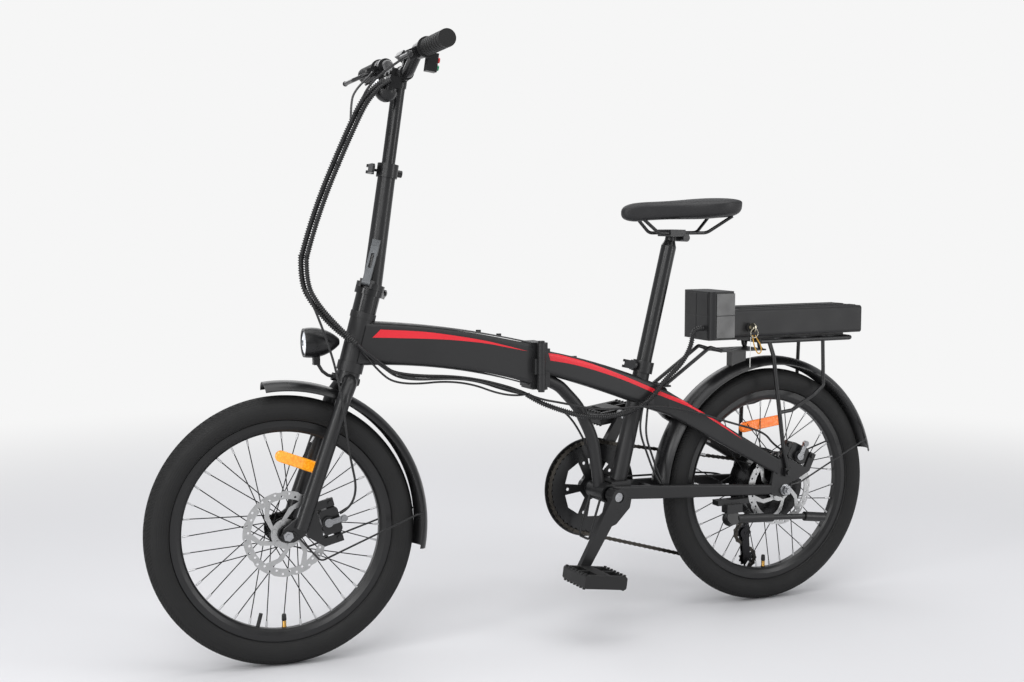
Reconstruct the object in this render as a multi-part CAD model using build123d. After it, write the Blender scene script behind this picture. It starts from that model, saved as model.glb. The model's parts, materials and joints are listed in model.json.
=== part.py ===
from build123d import *

# Folding electric bicycle with 20 inch wheels, built as separate named pieces.
#
# Millimetres. +X points forward, +Y to the rider's left and +Z up. Every piece is first
# placed in the bicycle's own layout, whose zero is the ground point under the rear axle,
# and the whole bicycle is moved at the end so that the origin is the bottom centre of its box.
# Everything that turns with the fork is drawn about the steering axis and turned at the end.


import os
from math import acos, asin, atan2, cos, degrees, pi, radians, sin, tan


os.makedirs("parts", exist_ok=True)

# ---- driving dimensions: layout -------------------------------------------------
wheel_radius = 254.0        # outside of the tyre
wheelbase = 1085.0
head_angle = 74.5           # steering axis above the horizontal, degrees
fork_rake = 50.0            # front axle ahead of the steering axis
steer_rest = -5.7           # the stored pose is turned slightly to the right, degrees
seat_angle = 76.4
bb_x = 405.0                # bottom bracket
bb_z = 271.0
seat_tube_top_x = 307.5
seat_tube_top_z = 537.5
hinge_x = 564.0             # frame hinge plane
hinge_z0 = 495.0
hinge_z1 = 589.0
hinge_pin_y = 37.0
run_gap = 0.07              # radial clearance of a running fit
seat_gap = 0.3              # gap between pieces that move past each other

# ---- driving dimensions: wheels -------------------------------------------------
tyre_width = 52.0
tyre_wall = 3.2
rim_inner_r = 186.0
rim_bead_r = 203.0
rim_flange_r = 208.0
rim_half_width = 14.0
rim_flange_t = 2.0
spoke_count = 36
spoke_r = 1.0
valve_r = 3.6
rotor_r = 80.0
rotor_t = 1.8
front_rotor_y = 38.0
rear_rotor_y = 55.0
front_axle_r = 4.5
rear_axle_r = 6.0
motor_r = 66.0
motor_flange_r = 76.0
front_flange_r = 28.5

# ---- driving dimensions: drive train --------------------------------------------
pitch = 12.7
chain_y = -49.0
chainring_teeth = 48
cog_teeth = (28, 24, 22, 20, 18, 16, 14)
cog_spacing = 5.0
freewheel_bore_r = 17.0
cog_in_use = 3
jockey_teeth = 11
guide_jockey = (18.0, 136.0)
tension_jockey = (12.0, 79.0)
roller_r = 3.85
guard_r = 105.0
crank_length = 166.0
crank_rest = -59.6          # left crank's angle from +X toward +Z, degrees
crank_t = 13.0
crank_y = 62.0
spindle_r = 8.5
bb_shell_r = 20.0
bb_shell_half = 34.0
pedal_length = 94.0
pedal_width = 94.0
pedal_height = 26.0
pedal_axle_r = 5.0
pedal_pitch_deg = 8.0

# ---- driving dimensions: frame --------------------------------------------------
head_tube_r = 23.0
head_tube_bore_r = 19.0
head_low = 318.0            # along the steering axis from the foot point below
head_high = 433.0
steerer_r = 14.3
main_tube_w = 50.0
beam_w = 42.0
frame_wall = 3.0
seat_tube_r = 17.5
seatpost_r = 15.8
stay_w = 17.0
dropout_inner_rear = 68.0
dropout_t = 7.0

# ---- driving dimensions: post and bar -------------------------------------------
stem_hinge_h = 478.0        # hinge plane along the steering axis
post_tilt = 6.75            # handlepost leans forward of the steering axis, degrees
post_back = -4.0
post_length = 240.0
post_base_r = 18.5
post_top_r = 16.5
upper_r = 12.7
upper_low = 120.0
upper_high = 409.0
bar_r = 11.1
bar_rise = 32.0
bar_half = 285.0
grip_r = 16.0
grip_length = 122.0

# ---- driving dimensions: saddle, rack and battery -------------------------------
seatpost_low_z = 411.0
seatpost_high_z = 806.0
rack_z = 571.5
rack_tube_r = 5.0
rack_half = 43.0
battery_x0 = -215.0
battery_x1 = 117.0
battery_z0 = 583.0
battery_z1 = 642.0
battery_half = 50.0
dock_x1 = 180.0
dock_z0 = 580.0
dock_z1 = 681.0
dock_half = 55.0
rail_t = 5.3


# ---- small makers ---------------------------------------------------------------
def rod(start, end, radius):
    start, end = Vector(*start), Vector(*end)
    base = Plane(origin=start, z_dir=end - start)
    return base * Cylinder(radius, (end - start).length, align=(Align.CENTER, Align.CENTER, Align.MIN))


def axle(radius, y0, y1, x=0.0, z=0.0):
    return rod((x, min(y0, y1), z), (x, max(y0, y1), z), radius)


def block(x0, x1, y0, y1, z0, z1):
    return Pos((x0 + x1) / 2, (y0 + y1) / 2, (z0 + z1) / 2) * Box(abs(x1 - x0), abs(y1 - y0), abs(z1 - z0))


def bent_rod(points, radius, bend):
    path = FilletPolyline(*points, radius=bend)
    return sweep(Plane(origin=path @ 0, z_dir=path % 0) * Circle(radius), path)


def corner_radii(points):
    """The largest arc that each corner's two runs allow."""
    radii = []
    for before, here, after in zip(points, points[1:], points[2:]):
        run_in = Vector(*here) - Vector(*before)
        run_out = Vector(*after) - Vector(*here)
        turn = radians(run_in.get_angle(run_out))
        radii.append(0.45 * min(run_in.length, run_out.length) / tan(turn / 2))
    return radii


cord_report = {}


def cord(name, points, radius):
    """A plain tube along straight runs joined by tangent arcs."""
    radii = corner_radii(points)
    path = FilletPolyline(*points, radius=radii)
    tube = sweep(Plane(origin=path @ 0, z_dir=path % 0) * Circle(radius), path)
    cord_report[name] = (path.length, min(radii), tube.volume / (pi * radius**2 * path.length))
    return tube


def side_profile(points, y0, y1):
    """A closed outline given as (x, z) points, made solid from y0 to y1."""
    face = make_face(Polyline(*[(x, z) for x, z in points], close=True))
    return side_face(face, y0, y1)


def side_face(face, y0, y1):
    """A face drawn as (x, z) on XY, stood up in the XZ plane and made solid from y0 to y1."""
    return Pos(0, y1, 0) * Rot(90, 0, 0) * extrude(face, amount=y1 - y0)


def group(*pieces):
    solids = []
    for piece in pieces:
        solids.extend(piece.solids())
    return Compound(children=solids) if len(solids) > 1 else solids[0]


def polar(radius, angle_deg):
    return radius * cos(radians(angle_deg)), radius * sin(radians(angle_deg))


# ---- reference frames -----------------------------------------------------------
head = radians(head_angle)
front_axle = (wheelbase, 0.0, wheel_radius)
steer_foot = (wheelbase - fork_rake * sin(head), 0.0, wheel_radius - fork_rake * cos(head))
steer_plane = Plane(origin=steer_foot, x_dir=(sin(head), 0, cos(head)), z_dir=(-cos(head), 0, sin(head)))
STEER_STRAIGHT = steer_plane.location
STEER = STEER_STRAIGHT * Rot(0, 0, steer_rest)
FRONT_WHEEL = STEER * Pos(fork_rake, 0, 0)
REAR_WHEEL = Pos(0, 0, wheel_radius)
CRANK = Pos(bb_x, 0, bb_z)
POST = STEER * Pos(post_back, 0, stem_hinge_h) * Rot(0, post_tilt, 0)
seat_dir = (-cos(radians(seat_angle)), sin(radians(seat_angle)))


def on_seat_axis(z):
    """The point of the seat tube's axis at a height."""
    return (seat_tube_top_x + (z - seat_tube_top_z) * seat_dir[0] / seat_dir[1], 0.0, z)


# ---- wheels ---------------------------------------------------------------------
def make_rim():
    w, t = rim_half_width, rim_flange_t
    outline = [
        (rim_inner_r, 6.0), (rim_inner_r + 4, 10.0), (rim_bead_r - 6, w), (rim_flange_r, w),
        (rim_flange_r, w - t), (rim_bead_r, w - t), (rim_bead_r - 3, w - 5.5),
    ]
    mirrored = [(r, -y) for r, y in reversed(outline)]
    rim = revolve(make_face(Polyline(*outline, *mirrored, close=True)), Axis.Y)
    return rim - rod((0, 0, -rim_inner_r + 5), (0, 0, -rim_bead_r - 5), valve_r + run_gap)


def make_tyre():
    """The tyre, and apart from it the inner tube with its valve."""
    section_r = tyre_width / 2
    centre = wheel_radius - section_r
    seat_r = rim_flange_r + seat_gap
    bead_half = rim_half_width - rim_flange_t - 0.2
    foot_r = rim_bead_r + 0.2
    inner_r = section_r - tyre_wall
    flank = (section_r**2 - (centre - seat_r) ** 2) ** 0.5
    throat = bead_half - 4.0
    lip = centre - (inner_r**2 - throat**2) ** 0.5
    outline = make_face([
        ThreePointArc((seat_r, flank), (wheel_radius, 0), (seat_r, -flank)),
        Polyline((seat_r, -flank), (seat_r, -bead_half), (foot_r, -bead_half), (foot_r, -throat), (lip, -throat)),
        ThreePointArc((lip, -throat), (centre + inner_r, 0), (lip, throat)),
        Polyline((lip, throat), (foot_r, throat), (foot_r, bead_half), (seat_r, bead_half), (seat_r, flank)),
    ])
    tyre = revolve(outline, Axis.Y)
    tube_r = section_r - tyre_wall - seat_gap
    tube = revolve(Pos(centre, 0) * (Circle(tube_r) - Circle(tube_r - 1.5)), Axis.Y)
    stem = rod((0, 0, -centre + tube_r + 0.1), (0, 0, -rim_inner_r + 26), valve_r)
    return tyre, group(tube, stem)


def make_spokes(hole_r, left_y, right_y, lead_deg):
    """Two crossed sets of spokes on each flange; each ends in a nipple at the rim."""
    pieces = []
    per_side = spoke_count // 2
    step = 360.0 / per_side
    for side, flange_y in ((1, left_y), (-1, right_y)):
        for j in range(per_side):
            lead = lead_deg if j % 2 else -lead_deg
            inset, rim_y = (2.4, 0.9) if j % 2 else (5.2, 3.6)
            rim_angle = step * (j + 0.25 + (0.5 if side < 0 else 0))
            hub_x, hub_z = polar(hole_r, rim_angle + lead)
            rim_x, rim_z = polar(rim_inner_r - 1.4, rim_angle)
            y = flange_y - side * inset
            hub = Vector(hub_x, y, hub_z)
            tip = Vector(rim_x, side * rim_y, rim_z)
            line = (tip - hub).normalized()
            head = Vector(hub_x, flange_y + side * 2.6, hub_z)
            path = FilletPolyline(head, hub, tip - line * 11, radius=1.8)
            wire = sweep(Plane(origin=path @ 0, z_dir=path % 0) * Circle(spoke_r), path)
            pieces.append(wire + rod(tip - line * 12, tip, 2.0))
    return pieces


def flange(radius, y, thickness, hole_r, first_deg, step):
    plate = axle(radius, y - thickness / 2, y + thickness / 2)
    holes = []
    for j in range(spoke_count // 2):
        x, z = polar(hole_r, first_deg + j * step)
        holes.append(axle(spoke_r + 0.1, y - thickness, y + thickness, x, z))
    return plate - holes


def make_hub(shell_r, flange_r, left_y, right_y, left_end, right_end, axle_r, lead_deg, drive_r=0.0):
    """Hub shell with two drilled flanges and a bearing ring pressed into each end."""
    hole_r = flange_r - 2.6
    step = 720.0 / spoke_count
    first = step * 0.25 + lead_deg
    shell = axle(shell_r, right_y, left_y)
    shell += flange(flange_r, left_y, 2.4, hole_r, first, step)
    shell += flange(flange_r, right_y, 2.4, hole_r, first + step / 2, step)
    shell += axle(15.5, left_y, left_end)
    shell += axle(drive_r or 15.0, right_end, right_y)
    seat_r, seat_w = 11.5, 7.0
    shell -= axle(axle_r + 1.5, right_end, left_end)
    shell -= axle(seat_r, left_end - seat_w, left_end)
    shell -= axle(seat_r, right_end, right_end + seat_w)
    ring = axle(seat_r - run_gap, 0, seat_w) - axle(axle_r + run_gap, 0, seat_w)
    return group(shell, Pos(0, left_end - seat_w, 0) * ring, Pos(0, right_end, 0) * ring)


def make_rotor(y, bolt_circle_r=22.0, bore_r=16.0):
    """Brake disc: a holed outer band on six swept arms."""
    band = Circle(rotor_r) - Circle(rotor_r - 15)
    holes = [Pos(*polar(rotor_r - 5 - 5 * (i % 2), i * 360 / 36)) * Circle(2.3) for i in range(36)]
    scallops = [Pos(*polar(rotor_r + 11.0, i * 30 + 7)) * Circle(13.0) for i in range(12)]
    disc = band - holes - scallops
    disc += Circle(bolt_circle_r + 6) - Circle(bore_r)
    for i in range(6):
        a = i * 60
        arm = make_face(Polyline(
            polar(bolt_circle_r + 3, a - 9), polar(bolt_circle_r + 3, a + 13),
            polar(rotor_r - 32, a + 34), polar(rotor_r - 12, a + 52),
            polar(rotor_r - 12, a + 41), polar(rotor_r - 30, a + 23), close=True,
        ))
        disc += arm
    disc -= [Pos(*polar(bolt_circle_r, i * 60)) * Circle(2.6) for i in range(6)]
    plate = side_face(disc, y - rotor_t / 2, y + rotor_t / 2)
    bolts = []
    for i in range(6):
        x, z = polar(bolt_circle_r, i * 60)
        bolt = axle(2.5, y - 7, y + rotor_t / 2, x, z) + axle(4.2, y + rotor_t / 2, y + 3.4, x, z)
        bolts.append(bolt)
    return group(plate, *bolts)


def rotor_boss(y, left_y, axle_r):
    """The hub's seat behind the disc, with blind holes for its bolts."""
    boss = axle(27.0, left_y + 4.5, y - rotor_t / 2) - axle(axle_r + 1.5, left_y, y)
    for i in range(6):
        x, z = polar(22.0, i * 60)
        boss -= axle(2.5 + run_gap, y - 7, y, x, z)
    return boss


# ---- sprockets and chain --------------------------------------------------------
def pitch_radius(teeth):
    return pitch / (2 * sin(pi / teeth))


def toothed(teeth, bore_r, tooth_depth=3.4):
    """A toothed disc whose tips stop just below the chain's rollers."""
    tip_r = pitch_radius(teeth) - roller_r - 0.35
    blank = Circle(tip_r)
    gaps = []
    for i in range(teeth):
        gaps.append(Pos(*polar(tip_r + 0.6, i * 360 / teeth)) * Circle(tooth_depth))
    blank -= gaps
    return blank - Circle(bore_r)


def chain_path():
    """Arcs and tangents round chainring, cog and the two jockey wheels, seen as (x, z)."""
    turns = [
        (bb_x, bb_z, pitch_radius(chainring_teeth), 1),
        (0.0, wheel_radius, pitch_radius(cog_teeth[cog_in_use]), 1),
        (*guide_jockey, pitch_radius(jockey_teeth), -1),
        (*tension_jockey, pitch_radius(jockey_teeth), 1),
    ]
    headings = []
    for here, there in zip(turns, turns[1:] + turns[:1]):
        dx, dz = there[0] - here[0], there[1] - here[1]
        span = (dx * dx + dz * dz) ** 0.5
        headings.append(atan2(dz, dx) - asin((there[3] * there[2] - here[3] * here[2]) / span))
    pieces = []
    for k, (cx, cz, r, s) in enumerate(turns):
        h_in, h_out = headings[k - 1], headings[k]
        sweep_angle = (s * (h_out - h_in)) % (2 * pi)
        pieces.append(("arc", cx, cz, r, s, h_in, sweep_angle, r * sweep_angle))
        nx, nz, nr, ns = turns[(k + 1) % 4]
        start = (cx + s * r * sin(h_out), cz - s * r * cos(h_out))
        end = (nx + ns * nr * sin(h_out), nz - ns * nr * cos(h_out))
        length = ((end[0] - start[0]) ** 2 + (end[1] - start[1]) ** 2) ** 0.5
        pieces.append(("line", start, end, length))
    return pieces


def point_on_chain(pieces, s):
    for piece in pieces:
        length = piece[-1]
        if s <= length:
            if piece[0] == "line":
                (x0, z0), (x1, z1) = piece[1], piece[2]
                f = s / length
                return x0 + f * (x1 - x0), z0 + f * (z1 - z0)
            _, cx, cz, r, turn, h_in, _, _ = piece
            h = h_in + turn * s / r
            return cx + turn * r * sin(h), cz - turn * r * cos(h)
        s -= length
    return point_on_chain(pieces, s)


def make_chain():
    """Roller chain as separate links, alternating roller links and pin links."""
    plate_shape = Rectangle(pitch, 6.4) + Pos(-pitch / 2, 0) * Circle(4.1) + Pos(pitch / 2, 0) * Circle(4.1)
    hole = [Pos(-pitch / 2, 0) * Circle(2.1), Pos(pitch / 2, 0) * Circle(2.1)]
    inner_plate, outer_plate = plate_shape - hole, plate_shape
    inner = side_face(inner_plate, 1.2, 2.1) + side_face(inner_plate, -2.1, -1.2)
    outer = side_face(outer_plate, 2.3, 3.2) + side_face(outer_plate, -3.2, -2.3)
    for x in (-pitch / 2, pitch / 2):
        inner += axle(roller_r, -1.25, 1.25, x) - axle(2.1, -1.3, 1.3, x)
        outer += axle(1.8, -3.6, 3.6, x)
    pieces = chain_path()
    total = sum(piece[-1] for piece in pieces)
    count = 2 * round(total / pitch / 2)
    joints = [point_on_chain(pieces, total * i / count) for i in range(count)]
    links = []
    for i in range(count):
        (x0, z0), (x1, z1) = joints[i], joints[(i + 1) % count]
        tilt = degrees(atan2(z1 - z0, x1 - x0))
        place = Pos((x0 + x1) / 2, chain_y, (z0 + z1) / 2) * Rot(0, -tilt, 0)
        links.append(place * (inner if i % 2 else outer))
    return group(*links)


def make_freewheel():
    pieces = None
    first_y = chain_y + cog_in_use * cog_spacing
    for i, teeth in enumerate(cog_teeth):
        y = first_y - i * cog_spacing
        cog = side_face(toothed(teeth, freewheel_bore_r), y - 0.95, y + 0.95)
        pieces = cog if pieces is None else pieces + cog
    low, high = first_y - 6 * cog_spacing - 1.0, first_y + 1.0
    carrier = axle(20.5, low, high) - axle(freewheel_bore_r, low - 1, high + 1)
    return pieces + carrier


def make_jockey(place):
    wheel = side_face(toothed(jockey_teeth, 4.0), chain_y - 1.0, chain_y + 1.0)
    wheel += axle(8.0, chain_y - 2.4, chain_y + 2.4) - axle(3.0 + run_gap, chain_y - 3, chain_y + 3)
    return Pos(place[0], 0, place[1]) * wheel


def make_chainring():
    """Toothed ring and guard disc with five window arms."""
    ring = toothed(chainring_teeth, 70.0)
    plate = Circle(73.0) - Circle(11.0)
    for i in range(5):
        a = i * 72 + 36
        window = make_face(Polyline(
            polar(26, a - 20), polar(62, a - 25), polar(66, a), polar(62, a + 25), polar(26, a + 20), close=True,
        ))
        plate -= window
        plate -= Pos(*polar(55, i * 72)) * Circle(3.4)
    toothed_ring = side_face(ring + plate, chain_y - 1.0, chain_y + 1.0)
    guard = Circle(guard_r) - Circle(86)
    guard_solid = side_face(guard, chain_y - 7.2, chain_y - 5.2)
    posts = []
    for i in range(5):
        x, z = polar(88.3, i * 72)
        posts.append(axle(2.3, chain_y - 7.2, chain_y + 1.0, x, z))
    return toothed_ring + guard_solid + posts


# ---- cranks and pedals ----------------------------------------------------------
def make_crank(side, angle_deg):
    """Arm from the spindle to the pedal eye; side is 1 for left and -1 for right."""
    ex, ez = polar(crank_length, angle_deg)
    nx, nz = polar(1.0, angle_deg + 90)
    arm = make_face(Polyline(
        (15 * nx, 15 * nz), (ex + 10.5 * nx, ez + 10.5 * nz),
        (ex - 10.5 * nx, ez - 10.5 * nz), (-15 * nx, -15 * nz), close=True,
    ))
    shape = arm + Circle(17) + Pos(ex, ez) * Circle(13)
    y0, y1 = sorted((side * crank_y, side * (crank_y + crank_t)))
    crank = side_face(shape, y0, y1)
    boss_inner = side * (bb_shell_half + 9)
    crank += axle(16.0, boss_inner, side * (crank_y + 2))
    crank -= axle(spindle_r, boss_inner - side, side * (crank_y + 5))
    crank -= axle(10.5, side * (crank_y + 5), side * (crank_y + crank_t + 1))
    crank -= axle(pedal_axle_r, side * (crank_y - 1), side * (crank_y + crank_t + 1), ex, ez)
    return crank


def make_crank_hardware():
    spindle = axle(spindle_r, -crank_y - 4.9, crank_y + 4.9)
    pieces = [spindle]
    for side in (1, -1):
        pieces.append(axle(9.5, side * (crank_y + 5), side * (crank_y + 9)))
        angle = crank_rest if side > 0 else crank_rest + 180
        x, z = polar(crank_length, angle)
        pin = axle(pedal_axle_r, side * (crank_y + 1), side * (crank_y + crank_t + pedal_width - 8), x, z)
        pieces.append(pin)
    return group(*pieces)


def make_pedal(side):
    """Platform pedal: a ribbed cage round a bored core, drawn about its own axle."""
    y_in = crank_y + crank_t + 3.0
    y0, y1 = side * y_in, side * (y_in + pedal_width)
    hl, hh = pedal_length / 2, pedal_height / 2
    body = block(-hl, hl, y0, y1, -hh, hh)
    body = fillet(body.edges().filter_by(Axis.Y), 5)
    for x0, x1 in ((-hl + 9, -15), (15, hl - 9)):
        for k in range(2):
            a = y_in + 9 + k * (pedal_width - 14) / 2
            body -= block(x0, x1, side * a, side * (a + (pedal_width - 28) / 2), -hh - 1, hh + 1)
    for k in range(7):
        for x in (-hl, hl):
            y = side * (y_in + 8 + k * (pedal_width - 16) / 6)
            body += Pos(x * 0.93, y, 0) * Cylinder(3.0, pedal_height + 5)
    body -= axle(pedal_axle_r + run_gap, side * (y_in - 1), side * (y_in + pedal_width - 10))
    angle = crank_rest if side > 0 else crank_rest + 180
    ex, ez = polar(crank_length, angle)
    return CRANK * Pos(ex, 0, ez) * Rot(0, -pedal_pitch_deg * side, 0) * body


# ---- frame ----------------------------------------------------------------------
def curved_box(top, bottom, half_width, corner, wall):
    """Hollow box tube whose side view lies between two arcs, given as three points each."""
    outline = make_face([
        ThreePointArc(*top), Line(top[2], bottom[2]), ThreePointArc(*reversed(bottom)), Line(bottom[0], top[0]),
    ])
    solid = side_face(outline, -half_width, half_width)
    long_edges = [e for e in solid.edges() if e.geom_type == GeomType.CIRCLE]
    solid = fillet(long_edges, corner)
    hollow = side_face(offset(outline, -wall), -half_width + wall, half_width - wall)
    return solid - hollow


def knuckles(spans, outer_r, x=hinge_x, y=hinge_pin_y):
    return [Pos(x, y, (z0 + z1) / 2) * Cylinder(outer_r, z1 - z0) for z0, z1 in spans]


hinge_plate_t = 14.0
hinge_pin_r = 4.0
knuckle_r = 8.5
third = (hinge_z1 - hinge_z0) / 3
rear_knuckles = ((hinge_z0, hinge_z0 + third - seat_gap / 2), (hinge_z1 - third + seat_gap / 2, hinge_z1))
front_knuckles = ((hinge_z0 + third + seat_gap / 2, hinge_z1 - third - seat_gap / 2),)


def hinge_half(direction, spans, own_fit, bore_x=hinge_x):
    """One half of the frame hinge; direction is 1 for the front half and -1 for the rear."""
    x0 = hinge_x + direction * seat_gap / 2
    x1 = hinge_x + direction * hinge_plate_t
    plate = block(x0, x1, -26, 26, hinge_z0, hinge_z1)
    for z0, z1 in spans:
        plate += block(x0 if direction > 0 else x1, x1 if direction > 0 else x0, 20, hinge_pin_y, z0, z1)
    plate += knuckles(spans, knuckle_r)
    others = rear_knuckles if direction > 0 else front_knuckles
    plate -= knuckles([(z0 - seat_gap, z1 + seat_gap) for z0, z1 in others], knuckle_r + 0.6)
    plate -= Pos(hinge_x, hinge_pin_y, (hinge_z0 + hinge_z1) / 2) * Cylinder(hinge_pin_r + own_fit, 200)
    return plate


def make_front_frame():
    tube = curved_box(
        ((923, 642), (712, 617.5), (hinge_x + 6, 588)), ((945, 559), (712, 536.5), (hinge_x + 6, 500)),
        main_tube_w / 2, 12, frame_wall,
    )
    tube += block(hinge_x + hinge_plate_t - 1, hinge_x + hinge_plate_t + 4, -24, 24, hinge_z0 + 4, hinge_z1 - 2)
    tube += hinge_half(1, front_knuckles, run_gap)
    for x, z in ((684, 613.4), (640, 604.5)):
        tube += Pos(x, 0, z) * Cylinder(5, 6)
    span = head_high - head_low
    shell = Pos(0, 0, head_low + span / 2) * Cylinder(head_tube_r, span)
    shell += Pos(0, 0, head_low + 9) * Cylinder(head_tube_r + 2.0, 18)
    shell += Pos(0, 0, head_high - 6) * Cylinder(head_tube_r + 1.5, 12)
    frame = tube + STEER_STRAIGHT * shell
    bore = Pos(0, 0, head_low + span / 2) * Cylinder(head_tube_bore_r, span + 40)
    frame -= STEER_STRAIGHT * bore
    ears = block(hinge_x + 4, hinge_x + 26, -40, -20, 528, 534) + block(hinge_x + 4, hinge_x + 26, -40, -20, 552, 558)
    ears -= Pos(latch_x, latch_y, 543) * Cylinder(3.0 + run_gap, 60)
    return frame + ears


latch_x = hinge_x + 18.0
latch_y = -33.0


def make_frame_latch():
    """Over-centre lever on the right of the hinge, with a hook behind the rear half's lug."""
    pivot = Pos(latch_x, latch_y, 543) * Cylinder(3.0, 32)
    boss = Pos(latch_x, latch_y, 543) * Cylinder(6.5, 17.4)
    arm = block(hinge_x - 118, latch_x, -41, -35, 535, 551)
    arm = fillet(arm.edges().filter_by(Axis.Z), 2)
    hook = block(hinge_x - 15, hinge_x - 3, -36, -34.4, 537, 549)
    return pivot + boss + arm + hook


def stay(side, stations):
    """A tapering box tube through stations of (x, y, z, width, height)."""
    sections = []
    for x, y, z, w, h in stations:
        plane = Plane(origin=(x, side * y, z), x_dir=(0, 1, 0), z_dir=(-1, 0, 0))
        sections.append(plane * RectangleRounded(w, h, min(w, h) * 0.35))
    return loft(sections, ruled=True)


def make_rear_frame():
    beam = curved_box(
        ((hinge_x - 6, 574), (420, 539), (262, 481)), ((hinge_x - 6, 527), (420, 484), (262, 424)),
        beam_w / 2, 10, frame_wall,
    )
    frame = beam + hinge_half(-1, rear_knuckles, 0.0)
    frame += block(hinge_x - hinge_plate_t - 14, hinge_x - hinge_plate_t + 1, -20, 20, 498, 575)
    frame += block(hinge_x - hinge_plate_t - 4, hinge_x - 1, -34, -24, 534, 552)
    for side in (1, -1):
        frame += stay(side, (
            (300, 11, 464, 18, 52), (262, 17, 450, 19, 50), (232, 43, 430, stay_w, 46),
            (150, 52, 382, stay_w, 44), (20, 71, 306, 14, 36),
        ))
        frame += stay(side, (
            (bb_x - 2, 27, bb_z + 2, 16, 28), (300, 39.5, 268, 13, 28), (200, 51, 264, 14, 27),
            (100, 63, 259, 13, 24), (26, 70, 256, 11, 20),
        ))
        dropout = make_face(Polyline(
            (34, 245), (34, 268), (24, 322), (8, 322), (-16, 300), (-20, 262), (-12, 242), (8, 238), close=True,
        ))
        y0, y1 = sorted((side * dropout_inner_rear, side * (dropout_inner_rear + dropout_t)))
        plate = side_face(dropout, y0, y1)
        plate -= axle(rear_axle_r + run_gap, y0 - 1, y1 + 1, 0, wheel_radius)
        frame += plate
    frame += REAR_WHEEL * caliper_bracket(rear_rotor_y, rear_caliper_angle, 24.0)
    down = bent_rod(
        ((548, 0, 517), (505, 0, 496), (462, 0, 452), (428, 0, 385), (412, 0, 283)), 12.5, (60, 120, 140),
    )
    frame += down
    low, high = Vector(*on_seat_axis(292)), Vector(*on_seat_axis(seat_tube_top_z))
    frame += rod(low, high, seat_tube_r)
    frame += axle(bb_shell_r, -bb_shell_half, bb_shell_half, bb_x, bb_z)
    frame += block(352, 398, -28, 28, 258, 294)
    frame += block(286, 296, -40, 40, 262, 274)
    fin = make_face(Polyline((412, 262), (352, 258), (356, 238), (388, 206), (418, 196), (424, 214), close=True))
    fin -= Pos(396, 236) * Circle(7)
    fin -= Pos(404, 214) * Circle(3.5)
    frame += side_face(fin, 27, 31)
    frame += bent_rod(((420, -22, 264), (436, -22, 215), (446, -22, 178), (446, 22, 178),
                       (436, 22, 215), (420, 22, 264)), 2.5, 8)
    bore_top = Vector(*on_seat_axis(seat_tube_top_z + 20))
    bore_low = Vector(*on_seat_axis(298))
    frame -= rod(bore_low, bore_top, seatpost_r + run_gap)
    frame -= axle(bb_shell_r - 3.5, -60, 60, bb_x, bb_z)
    frame -= block(240, 284, -31.5, 31.5, 250, 284)
    tyre_room = revolve(
        Pos(wheel_radius + 29 - 45, 0) * RectangleRounded(90, 66, 12), Axis.Y,
    )
    frame -= REAR_WHEEL * tyre_room
    for side in (1, -1):
        frame -= rod((160, side * 22, 562), (strut_foot[0] + 0.3, side * 22, strut_foot[1] - 0.2), 4.1)
        y0, y1 = sorted((side * 60, side * 76))
        frame -= axle(2.5, y0, y1, -2.6, 292)
    return frame


def make_hinge_pin():
    mid = (hinge_z0 + hinge_z1) / 2
    pin = Pos(hinge_x, hinge_pin_y, mid) * Cylinder(hinge_pin_r, hinge_z1 - hinge_z0)
    for z in (hinge_z0 - 2, hinge_z1 + 2):
        pin += Pos(hinge_x, hinge_pin_y, z) * Cylinder(6.5, 4)
    return pin


def make_bottom_bracket():
    """Cartridge unit: sleeve with a bearing ring at each end, round the spindle."""
    r = bb_shell_r - 3.5 - run_gap
    sleeve = axle(r, -bb_shell_half - 3, bb_shell_half + 3) - axle(r - 3, -60, 60)
    rings = []
    for y in (-bb_shell_half + 4, bb_shell_half - 4):
        rings.append(axle(r - 3 - run_gap, y - 4, y + 4) - axle(spindle_r + run_gap, y - 5, y + 5))
    return CRANK * group(sleeve, *rings)


def make_rear_axle():
    shaft = axle(rear_axle_r, -92, 92)
    pieces = [shaft]
    for side in (1, -1):
        y = side * (dropout_inner_rear + dropout_t + 0.1)
        washer = axle(12, y, y + side * 2) - axle(rear_axle_r, y - 1, y + side * 3)
        nut = RegularPolygon(10.5, 6) - Circle(rear_axle_r)
        n0, n1 = sorted((y + side * 2.1, y + side * 11))
        pieces += [washer, side_face(nut, n0, n1)]
    return REAR_WHEEL * group(*pieces)


def make_headset():
    """A bearing ring at each end of the head tube."""
    rings = []
    for z in (head_low + 6, head_high - 6):
        outer = Pos(0, 0, z) * Cylinder(head_tube_bore_r - run_gap, 12)
        rings.append(outer - Pos(0, 0, z) * Cylinder(steerer_r + run_gap, 14))
    return STEER_STRAIGHT * group(*rings)


# ---- fork and what rides on it --------------------------------------------------
def make_fork():
    steerer = rod((0, 0, head_low - 20), (0, 0, stem_hinge_h - 20), steerer_r)
    crown = rod((0, 0, head_low - 24), (0, 0, head_low - 0.3), 22)
    fork = steerer + crown
    for side in (1, -1):
        leg = bent_rod((
            (0, side * 6, head_low - 15), (0, side * 32, head_low - 19),
            (9, side * 50, head_low - 52), (29, side * 57, 16),
        ), 13.5, (16, 30))
        plate = make_face(Polyline(
            (18, 34), (40, 36), (60, 10), (62, -6), (52, -14), (36, -10), (18, 6), close=True,
        ))
        y0, y1 = sorted((side * 51, side * 58))
        tip = side_face(plate, y0, y1) - axle(front_axle_r + run_gap, y0 - 1, y1 + 1, fork_rake, 0)
        fork += leg + tip
    fork += rod((-24, 0, head_low - 16), (24, 0, head_low - 16), 7)
    fork += Pos(fork_rake, 0, 0) * caliper_bracket(front_rotor_y, front_caliper_angle)
    return STEER * fork


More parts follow.
